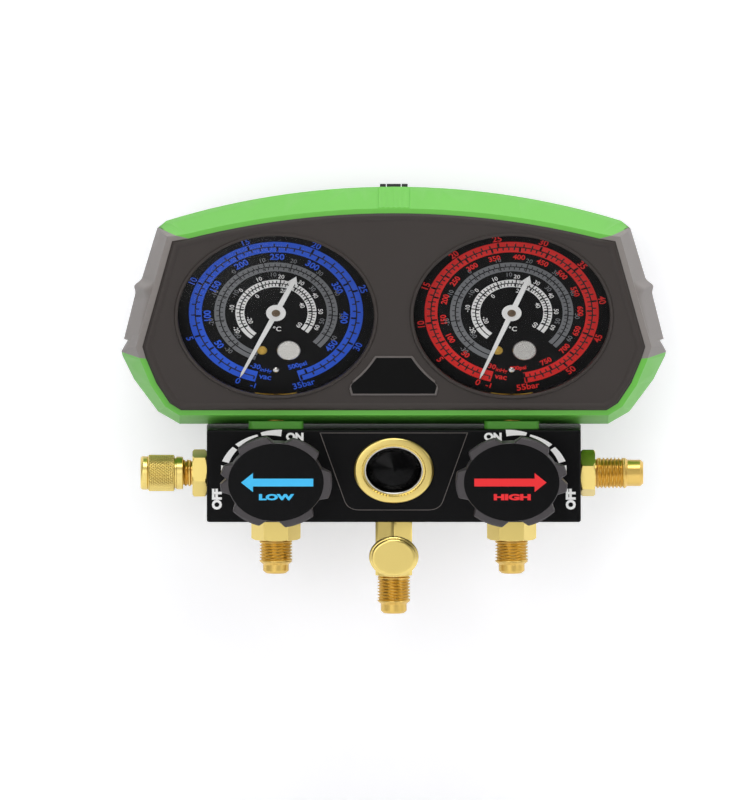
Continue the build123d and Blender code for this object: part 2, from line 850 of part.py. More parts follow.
far = 120.0
split_inner = (68.8 + housing_spread, 155.5 + housing_shift)
split_outer = (far, split_inner[1] + (far - split_inner[0]) * 0.287)
low_split_inner = (70.0 + housing_spread, 104.3 + housing_shift)
low_split_outer = (far, 110.9 + housing_shift)
top_region = [
    (-far, 200 + housing_shift),
    (far, 200 + housing_shift),
    split_outer,
    split_inner,
    (-split_inner[0], split_inner[1]),
    (-split_outer[0], split_outer[1]),
]
bottom_region = [
    (-low_split_outer[0], low_split_outer[1]),
    (-low_split_inner[0], low_split_inner[1]),
    low_split_inner,
    low_split_outer,
    (far, block_top - 10),
    (-far, block_top - 10),
]
grip_region = [split_inner, split_outer, low_split_outer, low_split_inner]


def band_piece(region):
    """Part of the padded band inside a region of the front view."""
    with BuildPart() as piece:
        add(band.part)
        with BuildSketch(front_plane(housing_back + 5)):
            with BuildLine():
                Polyline(*region, close=True)
            make_face()
        extrude(amount=2 * housing_back + 10, mode=Mode.INTERSECT)
    return piece


top_bumper = band_piece(top_region)
save(top_bumper, "top_bumper")

with BuildPart() as bottom_bumper:
    add(band_piece(bottom_region).part)
    # A boss under each gauge stands on the block round the gauge's stem.
    with BuildSketch(Plane.XY.offset(block_top)):
        with Locations((-station, 0), (station, 0)):
            RectangleRounded(boss_width, boss_depth, 2)
    extrude(amount=3)
    with BuildSketch(Plane.XY.offset(block_top)):
        with Locations((-station, 0), (station, 0)):
            Circle(gauge_stem_radius + stem_hole_clearance)
    extrude(amount=12, mode=Mode.SUBTRACT)
save(bottom_bumper, "bottom_bumper")

# Hollows between the grip's three ribs, as circles (x, z, radius) on the right-hand side.
grip_hollows = [(103.0, 148.2, 20.5), (109.2, 121.2, 22.6)]
for name, side in (("left", -1), ("right", 1)):
    with BuildPart() as grip:
        add(band_piece([(side * px, pz) for px, pz in grip_region]).part)
        with BuildSketch(front_plane(housing_back + 5)):
            for px, pz, hollow_radius in grip_hollows:
                with Locations((side * px, pz + housing_shift)):
                    Circle(hollow_radius)
        extrude(amount=2 * housing_back + 10, mode=Mode.SUBTRACT)
    save(grip, f"{name}_grip")

# ---------------------------------------------------------------- gauges
sector_x, sector_z = polar(gear_centres, sector_direction)
tail_x, tail_z = polar(gear_centres + tail_length, sector_direction)
tip_x, tip_z = polar(tube_radius, tube_end)
tooth_pitch = 360 / (pinion_teeth * gear_ratio)
mesh_angle = sector_direction + 180  # from the sector's pivot to the pinion


def gear_outline(pitch_radius, teeth, count, first_angle):
    """Points of count straight-flanked teeth, anticlockwise, the first centred on first_angle."""
    pitch_angle = 360 / teeth
    tip = pitch_radius + 0.8 * gear_module
    root = pitch_radius - 1.1 * gear_module
    half_at_pitch = pitch_angle / 4 - degrees(gear_backlash / pitch_radius) / 2
    spread = degrees(gear_module * tan(gear_flank) / pitch_radius)
    points = []
    for tooth in range(count):
        middle = first_angle + tooth * pitch_angle
        points.append(polar(root, middle - half_at_pitch - 1.1 * spread))
        points.append(polar(tip, middle - half_at_pitch + 0.8 * spread))
        points.append(polar(tip, middle + half_at_pitch - 0.8 * spread))
        points.append(polar(root, middle + half_at_pitch + 1.1 * spread))
    return points


def bar(start, end, width):
    """Flat bar with round ends, drawn in the current sketch from start to end."""
    length = hypot(end[0] - start[0], end[1] - start[1])
    middle = ((start[0] + end[0]) / 2, (start[1] + end[1]) / 2)
    turn = degrees(atan2(end[1] - start[1], end[0] - start[0]))
    with Locations(middle):
        SlotCenterToCenter(length, width, rotation=turn)


pillars = [(-5.0, -16.8), (8.0, -17.0), (-4.2, 2.8)]
plate_outline = [(-6, 4.6), (2.2, 4.6), (15.6, -4.6), (15.6, -11.5), (10.4, -19.6), (-7, -19.6)]
socket_top = 20.0
socket_drop = can_radius - can_wall - 1.0
foot_height = 1.6

for name, side in sides:
    x = side * station
    rest_angle = low_pointer_angle if side < 0 else high_pointer_angle

    with BuildPart() as gauge_case:
        with BuildSketch(front_plane_at(x, can_back, gauge_z)):
            Circle(can_radius)
        extrude(amount=can_back - can_front)
        chamfer(gauge_case.faces().sort_by(Axis.Y)[-1].edges(), length=1.2)
        with BuildSketch(front_plane_at(x, can_back - can_wall, gauge_z)):
            Circle(can_radius - can_wall)
        extrude(amount=can_back - can_wall - can_front, mode=Mode.SUBTRACT)
        with BuildSketch(Plane.XY.offset(gauge_z - can_radius - 1)):
            with Locations((x, 0)):
                Circle(gauge_stem_radius)
        extrude(amount=6, mode=Mode.SUBTRACT)
    save(gauge_case, f"{name}_gauge_case")

    with BuildPart() as gauge_lens:
        with BuildSketch(front_plane_at(x, can_front, gauge_z)):
            Circle(can_radius)
        extrude(amount=lens_thickness)
    save(gauge_lens, f"{name}_gauge_lens")

    # Bourdon tube: a flat thin-walled tube bent in a C, open into the socket, closed at its tip.
    with BuildPart() as bourdon_tube:
        section_plane = Plane(
            origin=(x + polar(tube_radius, tube_end)[0], tube_middle, gauge_z + polar(tube_radius, tube_end)[1]),
            x_dir=(cos(radians(tube_end)), 0, sin(radians(tube_end))),
            z_dir=(-sin(radians(tube_end)), 0, cos(radians(tube_end))),
        )
        tube_turn = tube_start - tube_end
        tube_axis = Axis((x, 0, gauge_z), (0, -1, 0))
        with BuildSketch(section_plane):
            RectangleRounded(tube_height, tube_width, tube_height / 2 - 0.01)
            offset(amount=-tube_wall, mode=Mode.SUBTRACT)
        revolve(axis=tube_axis, revolution_arc=tube_turn)
        with BuildSketch(section_plane):
            RectangleRounded(tube_height, tube_width, tube_height / 2 - 0.01)
        extrude(amount=-1.2)
    save(bourdon_tube, f"{name}_bourdon_tube")

    # Brass socket: the stem screws into the block, and the tube is brazed into its head.
    with BuildPart() as gauge_socket:
        with BuildSketch(Plane.XY.offset(block_top - gauge_stem_depth)):
            with Locations((x, 0)):
                Circle(gauge_stem_radius)
        extrude(amount=gauge_z - socket_drop - block_top + gauge_stem_depth)
        with BuildSketch(Plane.XY.offset(gauge_z - socket_drop)):
            with Locations((x, 6.0)):
                Rectangle(14, 14)
        extrude(amount=socket_drop - socket_top)
        with BuildSketch(section_plane):
            Rectangle(tube_height, tube_width)
        revolve(axis=tube_axis, revolution_arc=tube_turn, mode=Mode.SUBTRACT)
        with BuildSketch(Plane.XY.offset(block_top - gauge_stem_depth)):
            with Locations((x, 0)):
                Circle(1.2)
        extrude(amount=gauge_z - 26 - block_top + gauge_stem_depth, mode=Mode.SUBTRACT)
    save(gauge_socket, f"{name}_gauge_socket")

    # Movement frame: two plates on pillars, which also carry the dial, and a foot on the socket.
    with BuildPart() as movement_frame:
        for plate_y in (front_plate_y, back_plate_y):
            with BuildSketch(front_plane_at(x, plate_y + plate_thickness, gauge_z)):
                with BuildLine():
                    Polyline(*plate_outline, close=True)
                make_face()
                Circle(arbor_radius + fit, mode=Mode.SUBTRACT)
                with Locations((sector_x, sector_z)):
                    Circle(arbor_radius + fit, mode=Mode.SUBTRACT)
            extrude(amount=plate_thickness)
        for pillar in pillars:
            with BuildSketch(front_plane_at(x + pillar[0], back_plate_y, gauge_z + pillar[1])):
                Circle(1.2)
            extrude(amount=back_plate_y + dial_face - dial_thickness)
        with BuildSketch(front_plane_at(x, back_plate_y + plate_thickness, gauge_z)):
            with Locations((0, -socket_top + foot_height / 2)):
                Rectangle(14, foot_height)
        extrude(amount=back_plate_y + plate_thickness - front_plate_y)
    save(movement_frame, f"{name}_movement_frame")

    # Sector gear on its pivot, with the tail that the link pulls.
    with BuildPart() as sector_gear:
        first_tooth = mesh_angle + tooth_pitch / 2 - (sector_tooth_count - 3) * tooth_pitch
        sector_plane = front_plane_at(x + sector_x, sector_front + sector_thickness, gauge_z + sector_z)
        with BuildSketch(sector_plane):
            rim = gear_outline(sector_radius, pinion_teeth * gear_ratio, sector_tooth_count, first_tooth)
            with BuildLine():
                Polyline((0, 0), *rim, close=True)
            make_face()
            with BuildLine():
                arm_from = first_tooth + 7
                arm_to = first_tooth + (sector_tooth_count - 1) * tooth_pitch - 7
                Polyline(
                    polar(4.2, arm_from),
                    polar(sector_radius - 1.8, arm_from),
                    polar(sector_radius - 1.8, (arm_from + arm_to) / 2),
                    polar(sector_radius - 1.8, arm_to),
                    polar(4.2, arm_to),
                    close=True,
                )
            make_face(mode=Mode.SUBTRACT)
            Circle(2.4)
            bar((0, 0), polar(tail_length, sector_direction), 2.6)
        extrude(amount=sector_thickness)
        with BuildSketch(front_plane_at(x + sector_x, back_plate_y + plate_thickness, gauge_z + sector_z)):
            Circle(arbor_radius)
        extrude(amount=back_plate_y + plate_thickness - front_plate_y)
        with BuildSketch(front_plane_at(x + tail_x, sector_front, gauge_z + tail_z)):
            Circle(0.6)
        extrude(amount=sector_front - front_plate_y - plate_thickness)
    save(sector_gear, f"{name}_sector_gear")

    # Link from the sector's tail up to the tube's tip.
    with BuildPart() as link:
        with BuildSketch(front_plane_at(x, sector_front - 0.1, gauge_z)):
            bar((tail_x, tail_z), (tip_x, tip_z), 2.2)
            with Locations((tail_x, tail_z), (tip_x, tip_z)):
                Circle(1.5)
            with Locations((tail_x, tail_z), (tip_x, tip_z)):
                Circle(0.6 + fit, mode=Mode.SUBTRACT)
        extrude(amount=sector_front - 0.2 - front_plate_y - plate_thickness)
    save(link, f"{name}_link")

    # Pinion cut on the arbor that carries the pointer.
    with BuildPart() as pinion_arbor:
        with BuildSketch(front_plane_at(x, sector_front + sector_thickness + 0.4, gauge_z)):
            teeth = gear_outline(pinion_radius, pinion_teeth, pinion_teeth, sector_direction)
            with BuildLine():
                Polyline(*teeth, close=True)
            make_face()
        extrude(amount=sector_thickness + 0.8)
        with BuildSketch(front_plane_at(x, back_plate_y + plate_thickness, gauge_z)):
            Circle(arbor_radius)
        extrude(amount=back_plate_y + plate_thickness + dial_face + 2.2)
    save(pinion_arbor, f"{name}_pinion_arbor")

    with BuildPart() as dial_plate:
        with BuildSketch(front_plane_at(x, -dial_face + dial_thickness, gauge_z)):
            Circle(dial_radius)
            Circle(1.6, mode=Mode.SUBTRACT)
        extrude(amount=dial_thickness)
    save(dial_plate, f"{name}_dial_plate")

    # Calibration screw in the dial: turned with a blade to set the pointer on zero.
    with BuildPart() as calibration_screw:
        with BuildSketch(front_plane_at(x + 4.3, -dial_face, gauge_z - 15.5)):
            Circle(4.0)
        extrude(amount=calibration_proud)
        chamfer(calibration_screw.faces().sort_by(Axis.Y)[0].edges(), length=0.3)
        with BuildSketch(front_plane_at(x + 4.3, -dial_face - calibration_proud, gauge_z - 15.5)):
            Rectangle(5.2, 0.8)
        extrude(amount=-0.4, mode=Mode.SUBTRACT)
    save(calibration_screw, f"{name}_calibration_screw")

    # Pointer: a long tapered blade to the scale and a short arrow-shaped counterweight.
    with BuildPart() as pointer:
        pointer_plane = front_plane_at(x, -dial_face - 1.0, gauge_z)
        with BuildSketch(pointer_plane):
            with BuildLine():
                Polyline(
                    (pointer_tip, 0),
                    (pointer_tip - 2.2, 0.45),
                    (0, 0.95),
                    (3 - pointer_tail, 0.8),
                    (4.6 - pointer_tail, 2.6),
                    (-pointer_tail, 0),
                    (4.6 - pointer_tail, -2.6),
                    (3 - pointer_tail, -0.8),
                    (0, -0.95),
                    (pointer_tip - 2.2, -0.45),
                    close=True,
                )
            make_face()
            Circle(pointer_hub_radius)
            Circle(arbor_radius, mode=Mode.SUBTRACT)
        extrude(amount=pointer_thickness)
        with BuildSketch(pointer_plane.offset(-0.6)):
            Circle(1.4)
            Circle(arbor_radius, mode=Mode.SUBTRACT)
        extrude(amount=1.8)
    pointer.part = pointer.part.rotate(Axis((x, 0, gauge_z), (0, -1, 0)), rest_angle)
    save(pointer, f"{name}_pointer")

# ---------------------------------------------------------------- hanging hook
pivot_z = face_crown + housing_shift + hook_pivot_rise
with BuildPart() as hook:
    with BuildSketch(front_plane(hook_plane + hook_thickness / 2)):
        with Locations((0, pivot_z - hook_shank / 2)):
            Rectangle(hook_width, hook_shank)
    extrude(amount=hook_thickness)
    bend_x = -hook_inner_radius - hook_width / 2
    bend_z = pivot_z - hook_shank
    with BuildSketch(front_plane(hook_plane + hook_thickness / 2)):
        with Locations((bend_x, bend_z)):
            Circle(hook_inner_radius + hook_width)
            Circle(hook_inner_radius, mode=Mode.SUBTRACT)
        with Locations((bend_x, bend_z + 20)):
            Rectangle(60, 40, mode=Mode.SUBTRACT)
        with Locations((bend_x - hook_inner_radius - hook_width / 2, bend_z)):
            Circle(hook_width / 2)
    extrude(amount=hook_thickness)
    with BuildSketch(Plane(origin=(-hook_width / 2, hook_plane, pivot_z), z_dir=(1, 0, 0))):
        Circle(hook_barrel_radius)
    extrude(amount=hook_width)
    with BuildSketch(Plane(origin=(-hook_width / 2, hook_plane, pivot_z), z_dir=(1, 0, 0))):
        Circle(hook_pin_radius + fit)
    extrude(amount=hook_width, mode=Mode.SUBTRACT)
save(hook, "hook")

ear_gap = hook_width / 2 + 0.3
with BuildPart() as hook_bracket:
    with BuildSketch(front_plane(housing_back + bracket_thickness)):
        with Locations((0, pivot_z - 16)):
            RectangleRounded(24, 12, 2)
    extrude(amount=bracket_thickness)
    for side in (-1, 1):
        ear_start = side * (ear_gap + ear_thickness / 2) - ear_thickness / 2
        with BuildSketch(Plane(origin=(ear_start, 0, 0), x_dir=(0, 1, 0), z_dir=(1, 0, 0))):
            with BuildLine():
                Polyline(
                    (housing_back, pivot_z - 21),
                    (housing_back, pivot_z - 8),
                    (hook_plane - hook_barrel_radius, pivot_z),
                    (hook_plane + hook_barrel_radius, pivot_z),
                    (hook_plane + hook_barrel_radius, pivot_z - 4),
                    (housing_back + bracket_thickness, pivot_z - 21),
                    close=True,
                )
            make_face()
            with Locations((hook_plane, pivot_z)):
                Circle(hook_barrel_radius)
                Circle(hook_pin_radius, mode=Mode.SUBTRACT)
        extrude(amount=ear_thickness)
save(hook_bracket, "hook_bracket")

with BuildPart() as hook_pin:
    pin_half = ear_gap + ear_thickness
    with BuildSketch(Plane(origin=(-pin_half, hook_plane, pivot_z), z_dir=(1, 0, 0))):
        Circle(hook_pin_radius)
    extrude(amount=2 * pin_half)
save(hook_pin, "hook_pin")
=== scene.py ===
# %% [markdown]
# # A refrigerant manifold gauge
#
# A service technician hangs this set beside a cooling system. Two dial gauges sit in a padded housing,
# and under it a black valve block carries two knobs, a sight glass and brass flare ports.
# The CAD frame already holds every solid at its true size, so this file only adds what a solid model
# leaves out: cut threads, knurls, printed scales and letters, and the finish of each material.
# Every shape is worked out in millimetres and turned to metres once, when its mesh is made.

# %% Libraries, an empty scene and the fixed frame
import json
import math

import bmesh
import bpy
import numpy as np
from mathutils import Matrix, Vector

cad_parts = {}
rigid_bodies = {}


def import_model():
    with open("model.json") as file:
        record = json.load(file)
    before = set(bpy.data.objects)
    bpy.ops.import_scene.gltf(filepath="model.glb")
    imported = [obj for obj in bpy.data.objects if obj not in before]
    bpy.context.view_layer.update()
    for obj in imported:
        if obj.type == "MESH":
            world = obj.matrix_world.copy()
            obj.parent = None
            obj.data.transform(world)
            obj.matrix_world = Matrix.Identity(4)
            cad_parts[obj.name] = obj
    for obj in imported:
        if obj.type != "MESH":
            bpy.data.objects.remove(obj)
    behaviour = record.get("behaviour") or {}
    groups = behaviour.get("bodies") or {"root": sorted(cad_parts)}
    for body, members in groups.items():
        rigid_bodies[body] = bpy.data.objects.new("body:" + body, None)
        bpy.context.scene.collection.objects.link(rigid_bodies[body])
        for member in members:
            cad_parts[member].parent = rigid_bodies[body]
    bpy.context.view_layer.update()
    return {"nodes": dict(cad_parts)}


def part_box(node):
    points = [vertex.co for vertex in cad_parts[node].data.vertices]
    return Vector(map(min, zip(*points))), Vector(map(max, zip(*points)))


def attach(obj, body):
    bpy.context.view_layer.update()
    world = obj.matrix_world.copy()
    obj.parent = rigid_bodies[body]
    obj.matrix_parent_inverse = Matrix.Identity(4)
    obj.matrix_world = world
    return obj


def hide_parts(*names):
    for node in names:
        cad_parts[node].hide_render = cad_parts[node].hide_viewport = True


for leftover in list(bpy.data.objects):
    bpy.data.objects.remove(leftover)

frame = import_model()
cad_nodes = frame["nodes"]
MM = 0.001
SIDES = ("low", "high")

# %% [markdown]
# ## Measuring the frame
#
# A printed scale has to sit on its dial and a thread on its port, so each place is read from the
# frame and not typed in. A node's box gives its middle and its reach along each axis.


# %% Places read from the frame
def reach(node):
    """Lowest and highest corner of a node, in millimetres."""
    low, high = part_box(node)
    return np.array(low) / MM, np.array(high) / MM


def middle(node):
    """Half way between a node's lowest and highest corner, in millimetres."""
    low, high = reach(node)
    return (low + high) / 2


dial_centre = {side: middle(f"{side}_dial_plate") for side in SIDES}
knob_centre = {side: middle(f"{side}_knob_cap") for side in SIDES}
hose_centre = {side: middle(f"{side}_hose_port") for side in SIDES}
dial_face = reach("low_dial_plate")[0][1]
knob_face = reach("low_knob_cap")[0][1]
block_low, block_high = reach("manifold_block")
bezel_front = reach("front_bezel")[0][1]
PRINT_LIFT = 0.04  # a printed film stands this far off its surface, so that the two never flicker
print("dials at", dial_centre["low"].round(1), dial_centre["high"].round(1))

# %% [markdown]
# ## Colours and nodes
#
# Colours are picked on a screen as sRGB hex, but the shader works in linear light, so one function
# turns them round. A second one adds a shader node, sets its values and links its inputs.


# %% Colour and node helpers
def linear(hex_colour):
    """Linear colour of an sRGB hex: c / 12.92 when dark, otherwise ((c + 0.055) / 1.055) to the 2.4."""
    channels = np.array([int(hex_colour[i : i + 2], 16) for i in (1, 3, 5)]) / 255
    light = np.where(channels <= 0.04045, channels / 12.92, ((channels + 0.055) / 1.055) ** 2.4)
    return (*light.tolist(), 1.0)


def add_node(tree, kind, inputs=None, **settings):
    """A node with its settings. An input given as a socket is linked, and any other value is set."""
    node = tree.nodes.new(kind)
    for name, value in settings.items():
        setattr(node, name, value)
    for name, value in (inputs or {}).items():
        if isinstance(value, bpy.types.NodeSocket):
            tree.links.new(value, node.inputs[name])
        else:
            node.inputs[name].default_value = value
    return node


def finish(name, colour, roughness, grain_mm=0.0, height_mm=0.0, spread=0.0, **sockets):
    """A real material's surface.

    Its plain values are set on the shader itself. A grain is noise on Object coordinates, whose scale
    is 1 / grain size in metres. It moves the surface by height_mm, and the roughness by spread.
    """
    material = bpy.data.materials.new(name)
    material.use_nodes = True
    tree = material.node_tree
    tree.nodes.clear()
    base = {"Base Color": linear(colour), "Roughness": roughness}
    shader = add_node(tree, "ShaderNodeBsdfPrincipled", base)
    for socket, value in sockets.items():
        shader.inputs[socket.replace("_", " ")].default_value = value
    if grain_mm:
        place = add_node(tree, "ShaderNodeTexCoord")
        grain = add_node(
            tree,
            "ShaderNodeTexNoise",
            {"Vector": place.outputs["Object"], "Scale": 1 / (grain_mm * MM), "Detail": 3.0},
        )
        if height_mm:
            bump = add_node(
                tree,
                "ShaderNodeBump",
                {"Height": grain.outputs["Fac"], "Distance": height_mm * MM, "Strength": 1.0},
            )
            tree.links.new(bump.outputs["Normal"], shader.inputs["Normal"])
        if spread:
            rough = add_node(
                tree,
                "ShaderNodeMapRange",
                {
                    "Value": grain.outputs["Fac"],
                    "From Min": 0.3,
                    "From Max": 0.7,
                    "To Min": max(roughness - spread, 0.02),
                    "To Max": roughness + spread,
                },
            )
            tree.links.new(rough.outputs["Result"], shader.inputs["Roughness"])
    out = add_node(tree, "ShaderNodeOutputMaterial")
    tree.links.new(shader.outputs["BSDF"], out.inputs["Surface"])
    return material


# %% [markdown]
# ## Metals
#
# Bare metal has no colour of its own beyond a tint on what it mirrors, so its Metallic is 1 and its
# look comes from roughness. A turned brass fitting is smooth but not polished. A pressed or plated
# steel part is a little duller. The block is anodised: a black dyed oxide skin on aluminium, which
# reflects as a dielectric does.

# %% Metal finishes
brass = finish("turned brass", "#DFC878", 0.28, Metallic=1.0)
# The threads take a darker copy of the brass on the hexagon, although both are one turned piece: painted
# shade in the thread.
thread_brass_painted_shade = finish("brass thread, darker as painted shade", "#D9B765", 0.3, Metallic=1.0)
movement_brass = finish("stamped brass", "#C9A652", 0.38, Metallic=1.0)
hub_bronze = finish("bronzed steel hub", "#6E5F50", 0.45, Metallic=1.0)
nickel = finish("nickel plate", "#D9D7D2", 0.22, Metallic=1.0)
zinc_steel = finish("zinc-plated steel", "#B9BABC", 0.36, grain_mm=2.0, spread=0.08, Metallic=1.0)
anodised = finish(
    "black anodised aluminium", "#060607", 0.4, grain_mm=0.35, height_mm=0.002, Specular_IOR_Level=0.1
)
hook_coat = finish(
    "black powder coat on steel", "#0A0A0B", 0.5, grain_mm=0.5, height_mm=0.01, Specular_IOR_Level=0.25
)
print("metals:", len(bpy.data.materials))

# %% [markdown]
# ## Plastics, rubbers and paints
#
# The bezel and the cover are moulded ABS with a spark-eroded texture of about 0.3 mm, which scatters
# the light and makes the plastic look soft. The bumpers and grips are a thermoplastic rubber, duller
# still. Printed discs are smooth, so they stay glossy. Paint and ink are flat films.

# %% Plastic, rubber and paint finishes
bezel_abs = finish(
    "textured ABS, warm grey", "#342E2B", 0.5, grain_mm=0.32, height_mm=0.012, Specular_IOR_Level=0.3
)
cover_abs = finish("textured ABS, dark grey", "#35312F", 0.58, grain_mm=0.45, height_mm=0.02)
knob_abs = finish(
    "moulded ABS, slate grey", "#3D393B", 0.42, grain_mm=0.3, height_mm=0.004, Specular_IOR_Level=0.4
)
disc_black = finish("gloss black printed disc", "#030304", 0.25, Specular_IOR_Level=0.12)
badge_black = finish("satin black label plate", "#030303", 0.4, Specular_IOR_Level=0.1)
green_rubber = finish("soft rubber, leaf green", "#66BB42", 0.5, grain_mm=0.4, height_mm=0.008)
grey_rubber = finish("soft rubber, stone grey", "#827C78", 0.55, grain_mm=0.4, height_mm=0.008)
seal_rubber = finish("nitrile rubber", "#131313", 0.6)
dial_black = finish("black dial enamel", "#040405", 0.4, Specular_IOR_Level=0.15)
pointer_white = finish("white pointer enamel", "#F4F4F2", 0.4)
ink_white = finish("white printing ink", "#F2F2F0", 0.5)
ink_grey = finish("grey printing ink", "#77797C", 0.5)
ink_blue = finish("blue printing ink", "#1C60F0", 0.5)
ink_red = finish("red printing ink", "#F01208", 0.5)
ink_black = finish("black printing ink", "#070708", 0.5)
ink_sky = finish("sky blue printing ink", "#38BDF2", 0.45)
ink_signal = finish("signal red printing ink", "#E8141C", 0.45)
# This grey colours the badge outline and also the painted highlight on the block pad's edge.
grey_outline_and_edge_highlight = finish("grey raised outline and painted edge highlight", "#5C5653", 0.45)
lens_plastic = finish("clear polycarbonate", "#0C0C0D", 0.05, Alpha=0.06, IOR=1.58)
# The sight glass is near opaque and dark: painted shade of the dark chamber behind the clear glass.
sight_glass_painted_shade = finish("sight glass, near opaque dark as painted shade", "#050506", 0.1, Alpha=0.85, Specular_IOR_Level=0.12)
print("finishes in all:", len(bpy.data.materials))

# %% [markdown]
# ## From arrays to pieces
#
# A grid of points becomes a surface when each cell of four neighbours is a face. The cells are worked
# out as whole arrays: point (row, column) is number row * columns + column. A column count that wraps
# round closes a turned form, and a first or last row at the axis is merged to a single pole.


# %% Mesh helpers
def grid_cells(rows, columns, wrap=False):
    """Faces of a rows by columns grid, each (r, c), (r, c+1), (r+1, c+1), (r+1, c)."""
    last = columns if wrap else columns - 1
    r, c = np.meshgrid(np.arange(rows - 1), np.arange(last), indexing="ij")
    right = (c + 1) % columns
    here = r * columns
    after = here + columns
    return np.stack([here + c, here + right, after + right, after + c], -1).reshape(-1, 4)


def joined(parts):
    """Several (points, faces) put in one: each part's face numbers move up by the points before it."""
    points = []
    faces = []
    count = 0
    for part_points, part_faces in parts:
        points.append(np.asarray(part_points, float).reshape(-1, 3))
        faces.extend([tuple(int(i) + count for i in face) for face in part_faces])
        count += len(points[-1])
    return np.concatenate(points), faces


def surfaced(mesh, material, crease):
    """One material on a mesh, smooth where its faces meet at less than crease degrees."""
    mesh.materials.clear()
    mesh.materials.append(material)
    mesh.shade_smooth()
    mesh.set_sharp_from_angle(angle=math.radians(crease))
    mesh.update()


def even_shading(thing):
    """Normals weighted by face area: a flat face with a rounded edge keeps its flat look."""
    shading = thing.modifiers.new("even shading", "WEIGHTED_NORMAL")
    shading.keep_sharp = True


def piece(name, shape, material, body, crease=30.0, replaced=(), merge=True, even=False):
    """An object from (points in mm, faces). Merging joins points that lie on one another."""
    points, faces = shape
    points = np.asarray(points).reshape(-1, 3) * MM
    mesh = bpy.data.meshes.new(name)
    mesh.from_pydata(points.tolist(), [], [tuple(map(int, face)) for face in faces])
    if merge:
        work = bmesh.new()
        work.from_mesh(mesh)
        bmesh.ops.remove_doubles(work, verts=work.verts, dist=0.002 * MM)
        bmesh.ops.dissolve_degenerate(work, edges=work.edges, dist=0.001 * MM)
        work.to_mesh(mesh)
        work.free()
    surfaced(mesh, material, crease)
    thing = bpy.data.objects.new(name, mesh)
    bpy.context.collection.objects.link(thing)
    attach(thing, body)
    if even:
        even_shading(thing)
    if replaced:
        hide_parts(*replaced)
    return thing


def dressed(node, material, body, crease=32.0):
    """A smooth copy of a CAD node: its loose triangles are merged and shaded across shallow edges."""
    mesh = cad_nodes[node].data.copy()
    work = bmesh.new()
    work.from_mesh(mesh)
    bmesh.ops.remove_doubles(work, verts=work.verts, dist=0.001 * MM)
    bmesh.ops.dissolve_limit(work, angle_limit=math.radians(0.5), verts=work.verts, edges=work.edges)
    work.to_mesh(mesh)
    work.free()
    surfaced(mesh, material, crease)
    thing = bpy.data.objects.new(f"{node}_dressed", mesh)
    bpy.context.collection.objects.link(thing)
    even_shading(thing)
    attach(thing, body)
    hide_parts(node)
    return thing


# %% [markdown]
# ## The moulded and machined bodies
#
# The housing, knobs and block have their final shapes in the frame. Their triangles arrive loose, one
# by one, which shows every facet, so each visible body is copied, merged and shaded smoothly. Small
# hidden pieces keep their own mesh and only take a material.

# %% Smooth copies of the visible bodies
VISIBLE = {
    "manifold_block": (anodised, "anodised_block"),
    "rear_cover": (cover_abs, "cover_plastic"),
    "front_bezel": (bezel_abs, "bezel_plastic"),
    "badge_plate": (badge_black, "badge_plastic"),
    "top_bumper": (green_rubber, "green_rubber"),
    "bottom_bumper": (green_rubber, "green_rubber"),
    "left_grip": (grey_rubber, "grey_rubber"),
    "right_grip": (grey_rubber, "grey_rubber"),
    "low_packing_nut": (brass, "valve_brass"),
    "high_packing_nut": (brass, "valve_brass"),
    "hook_bracket": (hook_coat, "hook_paint"),
}
for node, (material, slot_name) in VISIBLE.items():
    dressed(node, material, "manifold")
for side in SIDES:
    dressed(f"{side}_knob", knob_abs, f"{side}_knob_set")
dressed("hook", hook_coat, "hook_arm")

PLAIN = {
    "sight_glass_lens": sight_glass_painted_shade,
    "sight_glass_seal": seal_rubber,
    "low_cap_seal": seal_rubber,
    "tee_cap_seal": seal_rubber,
    "housing_screws": zinc_steel,
    "hook_pin": zinc_steel,
}
for side in SIDES:
    PLAIN[f"{side}_gauge_lens"] = lens_plastic
    PLAIN[f"{side}_gauge_case"] = zinc_steel
    PLAIN[f"{side}_dial_plate"] = dial_black
    PLAIN[f"{side}_calibration_screw"] = nickel
    PLAIN[f"{side}_pointer"] = pointer_white
    PLAIN[f"{side}_knob_screw"] = zinc_steel
    PLAIN[f"{side}_valve_stem"] = brass
    PLAIN[f"{side}_stem_seals"] = seal_rubber
    for inner in "bourdon_tube gauge_socket movement_frame sector_gear link pinion_arbor".split():
        PLAIN[f"{side}_{inner}"] = movement_brass
for node, material in PLAIN.items():
    mesh = cad_nodes[node].data
    mesh.materials.clear()
    mesh.materials.append(material)
print("smooth copies:", len(VISIBLE) + 3, "plain nodes:", len(PLAIN))

# %% [markdown]
# ## Turned brass fittings
#
# A flare fitting is turned on a lathe, so it is a profile carried round an axis. Its thread is cut as
# a helix: at height h and turn t, the groove is deepest where h / pitch - t lies half way between two
# whole numbers. The groove fades in over 0.6 of a pitch at each end, as a real one does. The hexagon is
# the same kind of surface, with a radius that follows the flats, cut back by a chamfer at its corners.


# %% Surfaces about an axis
def about_axis(seat, direction, radii, heights, turns):
    """Points of a turned form: seat + height * axis + radius * (cos turn * side + sin turn * other).

    radii is a rows by columns array, heights one value a row, and turns one angle a column in radians.
    side is +X, or +Z for a form along X, and other is the axis crossed with it.
    """
    axis = np.array(direction, float)
    side = np.array((0, 0, 1.0)) if abs(axis[0]) > 0.5 else np.array((1.0, 0, 0))
    other = np.cross(axis, side)
    round_part = np.cos(turns)[None, :, None] * side + np.sin(turns)[None, :, None] * other
    heights = np.broadcast_to(np.asarray(heights, float).reshape(-1, 1), radii.shape)
    return np.array(seat, float) + heights[..., None] * axis + radii[..., None] * round_part


def along_profile(profile, step):
    """A profile of (radius, height) corners with points added every step along its straight runs."""
    rows = [np.array(profile[:1], float)]
    for start, end in zip(profile[:-1], profile[1:]):
        start = np.array(start, float)
        end = np.array(end, float)
        count = max(1, int(np.ceil(np.linalg.norm(end - start) / step)))
        share = np.arange(1, count + 1)[:, None] / count
        rows.append(start + (end - start) * share)
    return np.concatenate(rows)


